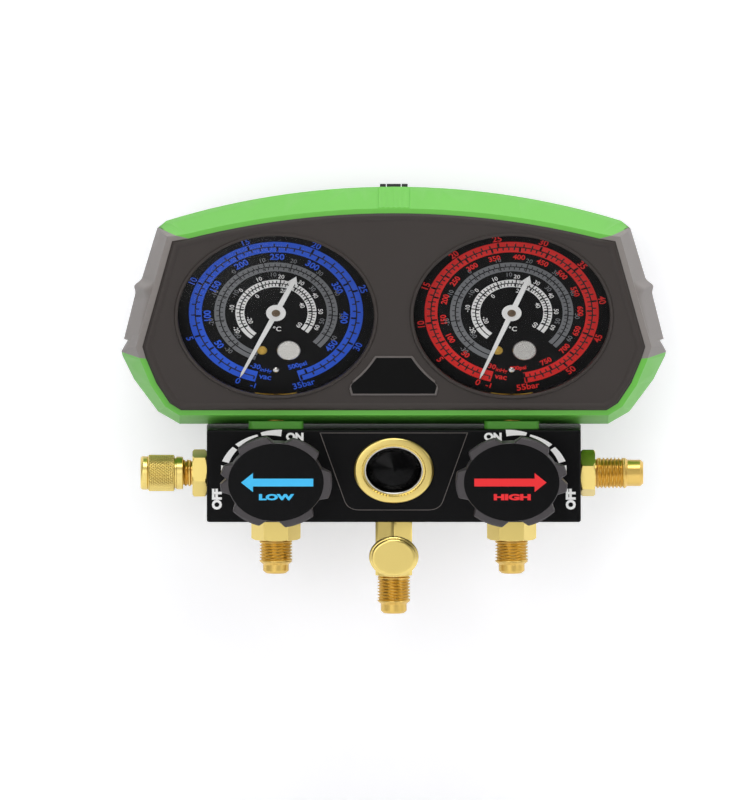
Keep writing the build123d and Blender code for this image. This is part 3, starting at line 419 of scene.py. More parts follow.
def turned(seat, direction, profile, columns=72, step=50.0, cut=None):
    """A profile of (radius, height) about an axis; cut(height, turn) is taken off its radius."""
    rows = along_profile(profile, step)
    turns = np.arange(columns) * 2 * np.pi / columns
    radii = np.repeat(rows[:, :1], columns, axis=1)
    if cut is not None:
        radii = radii - cut(rows[:, 1][:, None], turns[None, :], radii)
    return about_axis(seat, direction, radii, rows[:, 1], turns), grid_cells(len(rows), columns, wrap=True)


def thread_cut(pitch, start, end, major):
    """Depth of a 60 degree thread: 0.61 pitch at the groove, fading to nothing past both ends."""

    def depth(height, turn, radius):
        """Depth at a height and a turn: it grows with |phase - nearest whole|, on the crest only."""
        phase = height / pitch - turn / (2 * np.pi)
        groove = 1 - 2 * np.abs(phase - np.round(phase))
        shape = np.clip((1 - groove) * 1.35 - 0.15, 0, 1)
        fade_in = np.clip((height - start) / (0.6 * pitch), 0, 1)
        fade_out = np.clip((end - height) / (0.6 * pitch), 0, 1)
        fade = fade_in * fade_out
        return 0.61 * pitch * shape * fade * (np.abs(radius - major) < 0.02)

    return depth


def hexagon(seat, direction, flats, length, turn=0.0, chamfer=0.9, bore=0.0):
    """Hexagon prism: radius is flats / 2 / cos(angle from the flat's middle), held under a chamfer cone."""
    columns = 72
    turns = np.arange(columns) * 2 * np.pi / columns + math.radians(turn)
    folded = (np.arange(columns) * 360 / columns) % 60 - 30
    outline = flats / 2 / np.cos(np.radians(folded))
    corner = flats / 2 / math.cos(math.radians(30))
    levels = np.array([0, 0, 0.15, 0.3, 0.45, chamfer * 0.6, length - chamfer * 0.6, length - 0.45,
                       length - 0.3, length - 0.15, length, length])
    limit = corner - chamfer + np.minimum(levels, length - levels) / 0.58
    radii = np.minimum(outline[None, :], limit[:, None])
    radii[0] = bore
    radii[-1] = bore
    return about_axis(seat, direction, radii, levels, turns), grid_cells(len(levels), columns, wrap=True)


# %% [markdown]
# ## Hose ports
#
# Each port is a 1/4 inch SAE male flare: a hexagon for the spanner, a 7/16-20 thread with 1.27 mm
# between its turns, and a 45 degree nose that a hose's soft washer seals on. The larger side port is a
# 5/16 inch flare with a 1/2-20 thread of the same pitch.

# %% Flare fittings with cut threads
PITCH = 1.27
FLARE_BORE = 2.4
QUARTER_MAJOR = 5.56
QUARTER_TIP = 4.34
HOSE_HEX = (14.3, 8.4)  # across the flats, and along the port
SIDE_HEX = (17.0, 4.8)


def flare(name, seat, direction, spanner_size, thread_end, tip_end, major, tip, turn):
    """Hexagon, necked thread and open nose, from the seat outwards along one axis."""
    hex_flats, hex_length = spanner_size
    neck_end = hex_length + 0.8
    profile = [
        (0.0, 0.1),
        (major - 0.7, 0.1),
        (major - 0.7, neck_end - 0.4),
        (major, neck_end),
        (major, thread_end),
        (tip, thread_end + (major - tip)),
        (tip, tip_end - 1.0),
        (tip - 1.0, tip_end),
        (FLARE_BORE + 0.4, tip_end),
        (FLARE_BORE, tip_end - 0.4),
        (FLARE_BORE, 2.0),
        (0.0, 2.0),
    ]
    groove = thread_cut(PITCH, neck_end, thread_end, major)
    body = turned(seat, direction, profile, columns=96, step=PITCH / 9, cut=groove)
    spanner = hexagon(seat, direction, hex_flats, hex_length, turn)
    piece(f"{name}_thread", body, thread_brass_painted_shade, "manifold", crease=50, replaced=(name,))
    piece(f"{name}_hexagon", spanner, brass, "manifold", crease=24)


for side in SIDES:
    low, high = reach(f"{side}_hose_port")
    seat = (hose_centre[side][0], 0, block_low[2])
    length = block_low[2] - low[2]
    flare(f"{side}_hose_port", seat, (0, 0, -1), HOSE_HEX, length - 4.9, length,
          QUARTER_MAJOR, QUARTER_TIP, 0)
low, high = reach("high_side_port")
port_z = (low[2] + high[2]) / 2
length = high[0] - block_high[0]
flare("high_side_port", (block_high[0], 0, port_z), (1, 0, 0), SIDE_HEX, length - 6.2, length, 6.35, 5.46, 8)
low, high = reach("low_side_port")
left_seat = (block_low[0], 0, port_z)
length = block_low[0] - low[0]
flare("low_side_port", left_seat, (-1, 0, 0), SIDE_HEX, length - 4.0, length, QUARTER_MAJOR, QUARTER_TIP, 15)
print("ports threaded at", PITCH, "mm a turn")

# %% [markdown]
# ## The service tee
#
# The centre port is a forged tee: a slim hexagon, one threaded leg straight down for the charging
# hose, and one short leg to the front, closed by a knurled cap. The hexagon turns a corner to the front.

# %% Tee
tee_low = reach("service_tee")[0]
tee_seat = (0, 0, block_low[2])
tee_length = block_low[2] - tee_low[2]
TEE_HEX_FLATS = 12.3
TEE_HEX_LENGTH = 23.0
branch_z = middle("tee_port_cap")[2]
leg_profile = [
    (0.0, TEE_HEX_LENGTH - 1.0),
    (4.9, TEE_HEX_LENGTH - 1.0),
    (4.9, TEE_HEX_LENGTH + 0.4),
    (QUARTER_MAJOR, TEE_HEX_LENGTH + 0.9),
    (QUARTER_MAJOR, tee_length - 5.0),
    (QUARTER_TIP, tee_length - 3.8),
    (QUARTER_TIP, tee_length - 0.9),
    (3.5, tee_length),
    (FLARE_BORE + 0.4, tee_length),
    (FLARE_BORE, tee_length - 0.4),
    (FLARE_BORE, TEE_HEX_LENGTH),
    (0.0, TEE_HEX_LENGTH),
]
leg_groove = thread_cut(PITCH, TEE_HEX_LENGTH + 0.9, tee_length - 5.0, QUARTER_MAJOR)
leg = turned(tee_seat, (0, 0, -1), leg_profile, 96, PITCH / 9, leg_groove)
branch_length = -tee_low[1]
branch_profile = [
    (0.0, 1.0),
    (4.86, 1.0),
    (4.86, 8.5),
    (QUARTER_MAJOR, 9.0),
    (QUARTER_MAJOR, branch_length - 2.5),
    (QUARTER_TIP, branch_length - 1.9),
    (QUARTER_TIP, branch_length - 0.6),
    (3.74, branch_length),
    (FLARE_BORE, branch_length),
    (FLARE_BORE, 4.0),
    (0.0, 4.0),
]
branch_groove = thread_cut(PITCH, 9.0, branch_length - 2.5, QUARTER_MAJOR)
branch = turned((0, 0, branch_z), (0, -1, 0), branch_profile, 96, PITCH / 9, branch_groove)
piece("service_tee_thread", leg, thread_brass_painted_shade, "manifold", crease=50,
      replaced=("service_tee",))
piece("service_tee_branch", branch, thread_brass_painted_shade, "manifold", crease=50)
tee_hexagon = hexagon(tee_seat, (0, 0, -1), TEE_HEX_FLATS, TEE_HEX_LENGTH, turn=30, chamfer=0.8)
piece("service_tee_hexagon", tee_hexagon, brass, "manifold", crease=24)
print("tee leg", round(tee_length, 1), "mm, branch", round(branch_length, 1), "mm")

# %% [markdown]
# ## Knurled caps
#
# A knurl is pressed by two wheels that roll one set of slanted grooves over another and leave rows of
# small diamonds. With u = teeth * turn / (2 pi) and v = height / pitch, a point's depth is how near
# u + v or u - v is to a whole number, whichever is nearer.


# %% Diamond knurl and the two caps
def knurl_cut(teeth, pitch, start, end, major, depth):
    """Depth of a diamond knurl: the larger of 1 - 2 |u + v - nearest| and 1 - 2 |u - v - nearest|."""

    def cut(height, turn, radius):
        """Depth at a height and a turn, and nothing away from the knurl's own radius."""
        across = teeth * turn / (2 * np.pi)
        along = height / pitch
        one = 1 - 2 * np.abs(across + along - np.round(across + along))
        two = 1 - 2 * np.abs(across - along - np.round(across - along))
        groove = np.clip(np.maximum(one, two) - 0.35, 0, 1) / 0.65
        inside = (height > start) & (height < end) & (np.abs(radius - major) < 0.02)
        return depth * groove * inside

    return cut


KNURL_SPACING = 1.25
KNURL_DEPTH = 0.34
CAP_BORE = 5.7


def knurled_cap(name, seat, direction, mouth, end, radius, rim, collar, body):
    """Blind cap from its open mouth to its rounded end, with a diamond knurl round the middle."""
    profile = [
        (CAP_BORE, mouth + 2.0),
        (CAP_BORE, mouth),
        (collar - 0.3, mouth),
        (collar, mouth + 0.3),
        (collar, mouth + 2.2),
        (collar - 0.5, mouth + 2.4),
        (collar - 0.5, mouth + 2.8),
        (radius - 0.35, mouth + 2.9),
        (radius, mouth + 3.25),
        (radius, end - 2.95),
        (radius - 0.35, end - 2.6),
        (rim - 0.25, end - 2.45),
        (rim, end - 2.2),
        (rim, end - 0.9),
        (rim - 0.12, end - 0.45),
        (rim - 0.45, end - 0.12),
        (rim - 0.9, end),
        (0.0, end),
    ]
    teeth = int(round(2 * np.pi * radius / KNURL_SPACING))
    cut = knurl_cut(teeth, KNURL_SPACING, mouth + 3.2, end - 2.9, radius, KNURL_DEPTH)
    shape = turned(seat, direction, profile, columns=teeth * 8, step=KNURL_SPACING / 8, cut=cut)
    inner = turned(seat, direction, [(CAP_BORE, mouth + 2.0), (0.0, mouth + 2.0)], columns=teeth * 8)
    piece(f"{name}_knurled", joined([shape, inner]), brass, body, crease=40,
          replaced=(name,), even=True)


low, high = reach("low_port_cap")
knurled_cap("low_port_cap", left_seat, (-1, 0, 0), block_low[0] - high[0], block_low[0] - low[0],
            7.5, 6.9, 6.75, "low_cap_set")
low, high = reach("tee_port_cap")
knurled_cap("tee_port_cap", (0, 0, branch_z), (0, -1, 0), -high[1], -low[1], 8.3, 7.6, 7.6, "tee_cap_set")
print("caps knurled")

# %% [markdown]
# ## Sight glass
#
# The ring that holds the glass is brass with a serrated inner edge for its assembly key. Its inner
# radius on the front face is a plain circle plus a saw wave, and a bright lip lies just inside it.

# %% Sight glass ring
ring_low, ring_high = reach("sight_glass_ring")
ring_middle = (ring_low + ring_high) / 2
SERRATIONS = 60
turns = np.arange(SERRATIONS * 8) * 2 * np.pi / (SERRATIONS * 8)
saw = 2 * np.abs(SERRATIONS * turns / (2 * np.pi) % 1 - 0.5)
ring_rows = [
    (9.9, -7.0, 0.0),
    (11.2, -7.0, 0.0),
    (11.2, 0.0, 0.0),
    (13.4, 0.0, 0.0),
    (13.4, 1.35, 0.0),
    (13.28, 1.7, 0.0),
    (12.95, 1.95, 0.0),
    (12.6, 2.0, 0.0),
    (10.55, 2.0, 0.32),
    (10.2, 1.35, 0.32),
    (9.9, 1.3, 0.0),
    (9.9, -7.0, 0.0),
]
ring_seat = (ring_middle[0], ring_low[1] + 2.0, ring_middle[2])
ring_circle, ring_heights, ring_wave = np.array(ring_rows).T
ring_radii = ring_circle[:, None] + ring_wave[:, None] * saw[None, :]
ring_points = about_axis(ring_seat, (0, -1, 0), ring_radii, ring_heights, turns)
ring_shape = (ring_points, grid_cells(len(ring_rows), len(turns), wrap=True))
piece("sight_glass_ring_serrated", ring_shape, brass, "manifold", crease=40,
      replaced=("sight_glass_ring",), even=True)
lip_profile = [(9.3, -5.0), (9.89, -5.0), (9.89, 0.75), (9.75, 0.9), (9.45, 0.9), (9.3, 0.75), (9.3, -5.0)]
lip = turned(ring_seat, (0, -1, 0), lip_profile, columns=96)
piece("sight_glass_lip", lip, nickel, "manifold", crease=40)
print("ring serrations:", SERRATIONS)

# %% [markdown]
# ## Printed films
#
# Ink has no thickness that the eye can see, so a print is a flat surface just proud of what it is
# printed on. A scale's band is a grid over radius and angle; each tick is a small rectangle turned to
# its angle; letters are set as text, turned into a mesh and laid down with plain arithmetic.


# %% Flat shapes on a front face, as (x, z) points
def band(inner, outer, start, end, step=2.0):
    """Arc band between two radii: (r cos a, r sin a), where a pair of radii grows from start to end."""
    share = np.linspace(0, 1, max(2, int(abs(end - start) / step) + 1))
    angles = np.radians(start + (end - start) * share)
    rows = []
    for radius in (inner, outer):
        first, last = np.broadcast_to(radius, 2)
        radii = first + (last - first) * share
        rows.append(np.stack([radii * np.cos(angles), radii * np.sin(angles)], -1))
    return np.concatenate(rows), grid_cells(2, len(share))


def ticks(angles, inner, outer, width):
    """Rectangles from inner to outer radius, one for each angle, width wide."""
    angles = np.radians(np.asarray(angles, float))
    along = np.stack([np.cos(angles), np.sin(angles)], -1)[:, None, :]
    across = np.stack([-np.sin(angles), np.cos(angles)], -1)[:, None, :]
    corner = np.array([(inner, -0.5), (outer, -0.5), (outer, 0.5), (inner, 0.5)])
    points = corner[None, :, :1] * along + width * corner[None, :, 1:] * across
    return points.reshape(-1, 2), np.arange(len(angles) * 4).reshape(-1, 4)


def lettering(text, height, at, turn=0.0, stretch=1.0, weight=0.0, width=None):
    """Text whose tallest letter is height mm, centred on at = (x, z) and turned by turn degrees.

    Each point is (p - middle) * scale, turned by the usual sine and cosine rule, plus at.
    """
    curve = bpy.data.curves.new("letters", "FONT")
    curve.body = text
    curve.resolution_u = 3
    curve.offset = weight
    carrier = bpy.data.objects.new("letters", curve)
    mesh = bpy.data.meshes.new_from_object(carrier)
    points = np.empty(len(mesh.vertices) * 3)
    mesh.vertices.foreach_get("co", points)
    points = points.reshape(-1, 3)[:, :2]
    faces = [tuple(face.vertices) for face in mesh.polygons]
    bpy.data.objects.remove(carrier)
    bpy.data.curves.remove(curve)
    bpy.data.meshes.remove(mesh)
    low = points.min(0)
    high = points.max(0)
    scale = np.array([1.0, 1.0]) * height / (high[1] - low[1])
    scale[0] = width / (high[0] - low[0]) if width else scale[0] * stretch
    points = (points - (low + high) / 2) * scale
    sine, cosine = math.sin(math.radians(turn)), math.cos(math.radians(turn))
    x, z = points.T
    rotated = np.stack([x * cosine - z * sine, x * sine + z * cosine], -1)
    return rotated + np.array(at), faces


def on_front(parts, centre, y):
    """Flat (x, z) shapes moved to a centre on the plane y, wound to face the front (-Y)."""
    laid = []
    for points, faces in parts:
        points = np.asarray(points, float)
        faces = [tuple(face) for face in faces]
        a, b, c = (points[i] for i in faces[0][:3])
        if np.cross(b - a, c - a) < 0:
            faces = [face[::-1] for face in faces]
        solid = np.stack([points[:, 0] + centre[0], np.full(len(points), y), points[:, 1] + centre[2]], -1)
        laid.append((solid, faces))
    return joined(laid)


print("letters turned to meshes as they are needed")

# %% [markdown]
# ## Dial scales
#
# A pressure dial is a straight map from pressure to angle: angle = zero - degrees per bar * bar. The
# outer numbers are bar and the inner ones psi, on one coloured band. Two more bands carry temperature
# scales, whose steps widen towards the middle of the range, and their numbers are degrees Celsius.

# %% Dial prints
PSI_PER_BAR = 14.504
BAND_INNER = 24.9
BAND_OUTER = 29.2
BAND_MIDDLE = (BAND_INNER + BAND_OUTER) / 2
BAR_NUMBERS = 30.75
PSI_NUMBERS = 23.0
SCALES = {
    "low": {"zero": 245.5, "per_bar": 9.08, "top": 35, "psi_top": 500, "psi_step": 50, "ink": ink_blue},
    "high": {"zero": 248.4, "per_bar": 5.966, "top": 55, "psi_top": 800, "psi_step": 50, "ink": ink_red},
}
TEMPERATURE_SCALES = (  # inner and outer radius, first and last angle, ink, size and numbers
    (17.1, 20.7, 250, -44, ink_grey, 1.7, range(-30, 70, 10)),
    (10.6, 13.6, 232, -38, ink_white, 1.6, range(-20, 70, 10)),
)


def upright(angle):
    """Turn for a number at angle: its top points outwards in the upper part and inwards in the lower."""
    return angle - 90 if math.sin(math.radians(angle)) > -0.2 else angle + 90


def round_dial(text, height, radius, angle, weight=0.01):
    """A number centred at a radius and an angle round the dial."""
    at = (radius * math.cos(math.radians(angle)), radius * math.sin(math.radians(angle)))
    return lettering(text, height, at, upright(angle), weight=weight)


def dial_print(name, parts, centre, ink, films=1):
    """Flat prints on a dial plate, so many films proud of it."""
    shape = on_front(parts, centre, dial_face - films * PRINT_LIFT)
    piece(name, shape, ink, "manifold", merge=False)


for side in SIDES:
    scale = SCALES[side]
    centre = dial_centre[side]
    top_angle = scale["zero"] - scale["per_bar"] * scale["top"]
    low_angle = scale["zero"] + scale["per_bar"]
    coloured = [band(BAND_INNER, BAND_OUTER, low_angle + 1.5, top_angle - 1.5, 1.5)]
    for bar in range(0, scale["top"] + 1, 5):
        label = f"{bar}bar" if bar == scale["top"] else str(bar)
        coloured.append(round_dial(label, 2.45, BAR_NUMBERS, scale["zero"] - scale["per_bar"] * bar, 0.02))
    coloured.append(round_dial("-1", 2.0, 30.8, low_angle + 1, 0.02))
    for psi in range(scale["psi_step"], scale["psi_top"] + 1, scale["psi_step"]):
        last = psi == scale["psi_top"]
        label = f"{psi}psi" if last else str(psi)
        shift = 4 if last else 0
        angle = scale["zero"] - scale["per_bar"] * psi / PSI_PER_BAR - shift
        coloured.append(round_dial(label, 2.5 if side == "low" else 2.1, PSI_NUMBERS, angle, 0.03))
    coloured.append(round_dial("-30", 2.0, PSI_NUMBERS, low_angle - 2, 0.02))
    coloured.append(lettering("inHg", 2.0, (-3.4, -23.9), -14, weight=0.02))
    coloured.append(lettering("vac", 1.6, (-3.7, -26.6), -10, weight=0.02))
    dial_print(f"{side}_dial_pressure_scale", coloured, centre, scale["ink"])

    bars = np.arange(-1, scale["top"] + 1)
    major = bars[bars % 5 == 0]
    psis = np.arange(0, scale["psi_top"] + 1, 10)
    long_psis = psis[psis % scale["psi_step"] == 0]
    zero, per_bar = scale["zero"], scale["per_bar"]
    black = [band(BAND_MIDDLE - 0.22, BAND_MIDDLE + 0.22, low_angle, top_angle, 1.5)]
    for marks, inner_reach, outer_reach, width in (
        (bars, 0.0, 1.35, 0.5),
        (major, 0.0, 1.9, 0.75),
        (psis / PSI_PER_BAR, 1.3, 0.0, 0.46),
        (long_psis / PSI_PER_BAR, 1.9, 0.0, 0.7),
    ):
        at = zero - per_bar * marks
        black.append(ticks(at, BAND_MIDDLE - inner_reach, BAND_MIDDLE + outer_reach, width))
    for inner, outer, start, end, ink, size, numbers in TEMPERATURE_SCALES:
        half = (inner + outer) / 2
        share = np.linspace(0.06, 0.94, len(numbers)) ** 0.86
        angles = start + (end - start) * share
        fine = np.interp(np.arange(0, len(numbers) - 1 + 0.01, 0.2), np.arange(len(numbers)), angles)
        film = [band(inner, half - 0.2, start, end), band(half + 0.2, outer, start, end)]
        film += [round_dial(str(n), size, outer + 1.35, a) for n, a in zip(numbers, angles)]
        film += [round_dial(str(n), size, inner - 1.35, a - 9) for n, a in zip(numbers[::2], angles[::2])]
        dial_print(f"{side}_dial_temperature_scale_{int(inner)}", film, centre, ink)
        black.append(ticks(angles, half - 1.4, outer, 0.42))
        black.append(ticks(fine, half, half + 1.1, 0.34))
        black.append(ticks(fine + 1.7, half - 1.1, half, 0.34))
    dial_print(f"{side}_dial_ticks", black, centre, ink_black, films=2)
    units = [lettering("°C", 2.0, (0.4, -6.6), weight=0.015)]
    dial_print(f"{side}_dial_units", units, centre, ink_white)
print("dials printed")

# %% [markdown]
# ## Small fastenings on a dial
#
# A hollow brass rivet and a small screw hold the dial plate, and a domed brass cap closes the pointer's
# hub. Each is a short profile turned about an axis that points to the front.

# %% Rivet, screw and hub
for side in SIDES:
    x, _, z = dial_centre[side]
    front = (0, -1, 0)
    rivet = [(0.0, 0.0), (1.75, 0.0), (1.75, 0.25), (1.4, 0.55)]
    rivet += [(0.95, 0.55), (0.75, 0.35), (0.75, 0.1), (0.0, 0.1)]
    piece(f"{side}_dial_rivet", turned((x - 4.7, dial_face, z - 15.5), front, rivet, 32), movement_brass,
          "manifold")
    small = [(0.0, 0.0), (1.0, 0.0), (1.0, 0.3), (0.7, 0.55), (0.0, 0.6)]
    screw = turned((x, dial_face, z - 23.5), front, small, 24)
    piece(f"{side}_dial_screw", screw, nickel, "manifold")
    pointer_front = reach(f"{side}_pointer")[0][1]
    hub = [(0.0, 0.0), (1.45, 0.0), (1.45, 0.25), (1.15, 0.4), (0.5, 0.4), (0.4, 0.2), (0.0, 0.2)]
    piece(f"{side}_pointer_cap", turned((x, pointer_front, z), front, hub, 32), hub_bronze,
          f"{side}_pointer_set")
print("fastenings on the dials")

# %% [markdown]
# ## Marks on the block and the knobs
#
# Beside each knob a white arc grows from OFF to ON, so that a gloved hand knows which way opens. The
# high side mirrors the low side. On each knob's disc an arrow points to that side's hose.

# %% ON and OFF arcs
ARC_SEGMENTS = [
    ((16.5, 17.4), (19.3, 18.7), 84, 106),
    ((17.5, 17.3), (18.3, 18.9), 110, 136),
    ((16.9, 16.7), (18.9, 19.1), 140, 161),
    ((17.0, 17.4), (18.9, 18.3), 166, 176),
]
print_y = block_low[1] - PRINT_LIFT
for side, outward in (("low", -1), ("high", 1)):
    x, _, z = knob_centre[side]
    marks = []
    for inner, outer, start, end in ARC_SEGMENTS:
        if outward > 0:
            start, end = 180 - start, 180 - end
        marks.append(band(inner, outer, start, end))
    marks.append(lettering("ON", 3.4, (-outward * 6.3, 16.3), weight=0.06, width=5.9))
    marks.append(lettering("OFF", 3.4, (outward * 19.8, -9.4), turn=90, weight=0.06, width=8.6))
    piece(f"{side}_valve_marks", on_front(marks, (x, 0, z), print_y), ink_white, "manifold",
          merge=False)
print("arc segments:", 2 * len(ARC_SEGMENTS))

# %% Discs on the knobs
DISC_RADIUS = 16.0
disc_profile = [
    (0.0, 1.6),
    (15.1, 1.6),
    (15.1, 0.32),
    (DISC_RADIUS - 0.1, 0.32),
    (DISC_RADIUS, 0.22),
    (DISC_RADIUS - 0.05, 0.08),
    (DISC_RADIUS - 0.25, 0.0),
    (0.0, 0.0),
]
for side in SIDES:
    x, _, z = knob_centre[side]
    disc_shape = turned((x, knob_face + PRINT_LIFT, z), (0, 1, 0), disc_profile[::-1], columns=96)
    piece(f"{side}_knob_disc", disc_shape, disc_black, f"{side}_knob_set", crease=40,
          replaced=(f"{side}_knob_cap",), even=True)
print("discs", 2 * DISC_RADIUS, "mm across")

# %% Arrows and words on the knob discs
TIP, NECK, TAIL = -12.1, -8.1, 12.1
BARB, SHAFT = 3.9, 1.6
ARROW = np.array(
    [(TIP, 0), (NECK, -BARB), (NECK, -SHAFT), (TAIL, -SHAFT), (TAIL, SHAFT), (NECK, SHAFT), (NECK, BARB)]
)
for side, outward, ink in (("low", -1, ink_sky), ("high", 1, ink_signal)):
    arrow = ARROW * np.array([-outward, 1]) + np.array([outward * -0.4, 0])
    word = lettering(side.upper(), 2.6, (0.2, -6.0), weight=0.06, width=11.8 if side == "low" else 12.4)
    shapes = [(arrow, [tuple(range(len(ARROW)))]), word]
    piece(f"{side}_knob_print", on_front(shapes, knob_centre[side], knob_face), ink,
          f"{side}_knob_set", merge=False)
print("marks printed")

# %% [markdown]
# ## Moulded edges of the bezel
#
# The bezel has a low rim just inside its edge, whose inner slope catches the light along the bottom,
# and a raised outline round the bare label plate. Both are a small cross-section carried along a
# closed outline. A point moves inwards along the line that halves its corner, by the distance over
# the cosine of half the turn, so that the rim keeps its width.


# %% A cross-section carried round an outline
def inset(outline, distance):
    """Closed outline moved inwards: each corner goes distance / cos(half turn) along its bisector."""
    ahead = np.roll(outline, -1, 0) - outline
    ahead /= np.linalg.norm(ahead, axis=1, keepdims=True)
    behind = np.roll(ahead, 1, 0)
    normals = np.stack([-ahead[:, 1], ahead[:, 0]], -1)
    before = np.stack([-behind[:, 1], behind[:, 0]], -1)
    bisector = normals + before
    bisector /= np.linalg.norm(bisector, axis=1, keepdims=True)
    cosine = np.clip((bisector * normals).sum(1, keepdims=True), 0.4, 1)
    return outline + bisector * distance / cosine


def moulding(outline, section, y):
    """Rows of (inset, proud) carried round a closed anticlockwise (x, z) outline on the plane y."""
    rows = []
    for distance, proud in section:
        moved = inset(outline, distance)
        rows.append(np.stack([moved[:, 0], np.full(len(moved), y - proud), moved[:, 1]], -1))
    return np.concatenate(rows), grid_cells(len(section), len(outline), wrap=True)


MIRROR = np.array([-1, 1])
FACE_SIDE = np.array(
    [(68.8, 155.5), (74.3, 154.4), (84.3, 110.9), (83.0, 105.9), (79.6, 96.0), (75.1, 87.7), (71.3, 84.8)]
)
FACE_CROWN = 165.9
FACE_PANEL = bezel_front + 0.6
crown_x, crown_z = FACE_SIDE[0]
crown_radius = (crown_x**2 + (FACE_CROWN - crown_z) ** 2) / (2 * (FACE_CROWN - crown_z))
half_angle = math.asin(crown_x / crown_radius)
sweep = np.linspace(half_angle, -half_angle, 49)[1:-1]
crown = np.stack([crown_radius * np.sin(sweep), FACE_CROWN - crown_radius * (1 - np.cos(sweep))], -1)
face_outline = np.concatenate([FACE_SIDE[::-1], crown, FACE_SIDE * MIRROR])
rim_section = [(0.5, -0.1), (0.7, 0.3), (0.95, 0.42), (2.1, 0.42), (2.4, 0.3), (3.1, -0.02)]
rim = moulding(face_outline, rim_section, FACE_PANEL)
piece("front_bezel_rim", rim, bezel_abs, "manifold", crease=50)

badge_low, badge_high = reach("badge_plate")
gauge_z = dial_centre["low"][2]
gauge_x = dial_centre["high"][0]
BADGE_GAP = 37.75
waist = np.radians(np.linspace(207.5, 229.0, 9))
right_side = np.stack([gauge_x + BADGE_GAP * np.cos(waist), gauge_z + BADGE_GAP * np.sin(waist)], -1)
badge_foot = [(14.5, gauge_z - 28.2), (13.7, badge_low[2])]
badge_side = np.concatenate([[(5.8, badge_high[2])], right_side, badge_foot])
badge_outline = np.concatenate([badge_side * MIRROR, badge_side[::-1]])
outline_section = [(0.05, 0.2), (-0.05, 0.55), (-0.35, 0.6), (-0.65, 0.5), (-0.8, -0.05)]
badge_rim = moulding(badge_outline, outline_section, FACE_PANEL)
piece("badge_plate_outline", badge_rim, grey_outline_and_edge_highlight, "manifold", crease=50)
print("rim points:", len(face_outline))

# %% [markdown]
# ## The raised pad on the block and a painted highlight on its edge
#
# Behind the sight glass the block has a pad that stands 0.6 mm proud, left by milling the ground
# around it. Its edge carries a painted highlight: a thin grey strip, 0.1 mm high, round a tapered
# outline, stands for the light that the edge catches. A lower corner is a curve with its corner point C
# between A and B, (1 - t)^2 A + 2 t (1 - t) C + t^2 B.

# %% Painted highlight along the edge of the raised pad
PAD_TOP_HALF = 24.9
PAD_FOOT_HALF = 15.5
PAD_CORNER = 4.0
pad_top = block_high[2] - 1.0
pad_foot = block_low[2] + 5.0
pad_side = np.array([PAD_TOP_HALF - PAD_FOOT_HALF, pad_top - pad_foot])
pad_side /= np.linalg.norm(pad_side)
corner_point = np.array([PAD_FOOT_HALF, pad_foot])
along = np.linspace(0, 1, 9)[:, None]
from_foot = corner_point - (PAD_CORNER, 0.0)
up_side = corner_point + PAD_CORNER * pad_side
pad_corner = (1 - along) ** 2 * from_foot + 2 * along * (1 - along) * corner_point + along**2 * up_side
pad_right = np.concatenate([pad_corner, [(PAD_TOP_HALF, pad_top)]])
pad_outline = np.concatenate([pad_right, pad_right[::-1] * MIRROR])
pad_highlight_section = [(0.0, -0.05), (0.04, 0.1), (0.26, 0.1), (0.3, -0.05)]
pad_edge_painted_highlight = moulding(pad_outline, pad_highlight_section, block_low[1])
# The grey strip on the black block is a painted highlight: the light that the pad's edge catches.
piece("block_pad_painted_edge_highlight", pad_edge_painted_highlight, grey_outline_and_edge_highlight, "manifold", crease=50)
print("pad edge:", len(pad_outline), "points")

# %% [markdown]
# ## Grip knuckles and the carrying pad
#
# Each grey side grip has a knuckle across it, where the fingers stop, and a slope that runs out below
# it. The green top has a slightly raised pad in its middle. Both are a grid over height or width and
# depth: the moulding's own surface plus a small rise, with the grid's border sunk into it.

# %% Knuckles
GRIP_FRONT = -14.6
GRIP_WIDEST = 3.0
GRIP_BACK = 17.0
GRIP_SHOULDER = 15.0
BACK_TAPER = 2.4


def grip_side(z, y):
    """Half width of the grip: its front edge's line and its widest line, joined straight over depth."""
    front_line = 76.35 + (154.4 - z) * 0.23
    wide_line = 79.3 + (158.0 - z) * 0.248
    share = np.clip((y + GRIP_SHOULDER) / (GRIP_WIDEST + GRIP_SHOULDER), 0, 1)
    taper = np.clip(y - GRIP_WIDEST, 0, None) * BACK_TAPER / GRIP_BACK
    return front_line + (wide_line - front_line) * share - taper


KNUCKLE_Z = 134.3
KNUCKLE_SPREAD = 1.9
SLOPE_FOOT = 113.5
z_line = np.linspace(112.5, 142.0, 60)
y_line = np.concatenate([[GRIP_FRONT], np.linspace(GRIP_FRONT + 0.4, GRIP_BACK - 0.4, 22), [GRIP_BACK]])
z_grid, y_grid = np.meshgrid(z_line, y_line, indexing="ij")
bump = np.exp(-(((z_grid - KNUCKLE_Z) / KNUCKLE_SPREAD) ** 2))
run_out = np.clip((z_grid - SLOPE_FOOT) / (KNUCKLE_Z - SLOPE_FOOT), 0, 1)
above = 1.9 * bump
below = bump + 0.9 * run_out
rise = np.where(z_grid > KNUCKLE_Z, above, below)
edge = np.minimum((y_grid - GRIP_FRONT) / 3.0, (GRIP_BACK - y_grid) / 3.0)
rise = rise * np.clip(edge, 0, 1) ** 0.5 - 0.25 * (edge <= 0) - 0.06
for side, sign in (("left", -1), ("right", 1)):
    x_grid = sign * (grip_side(z_grid, y_grid) + rise)
    points = np.stack([x_grid, y_grid, z_grid], -1).reshape(-1, 3)
    cells = grid_cells(*z_grid.shape)
    piece(f"{side}_grip_knuckle", (points, cells if sign > 0 else cells[:, ::-1]), grey_rubber, "manifold",
          crease=60)

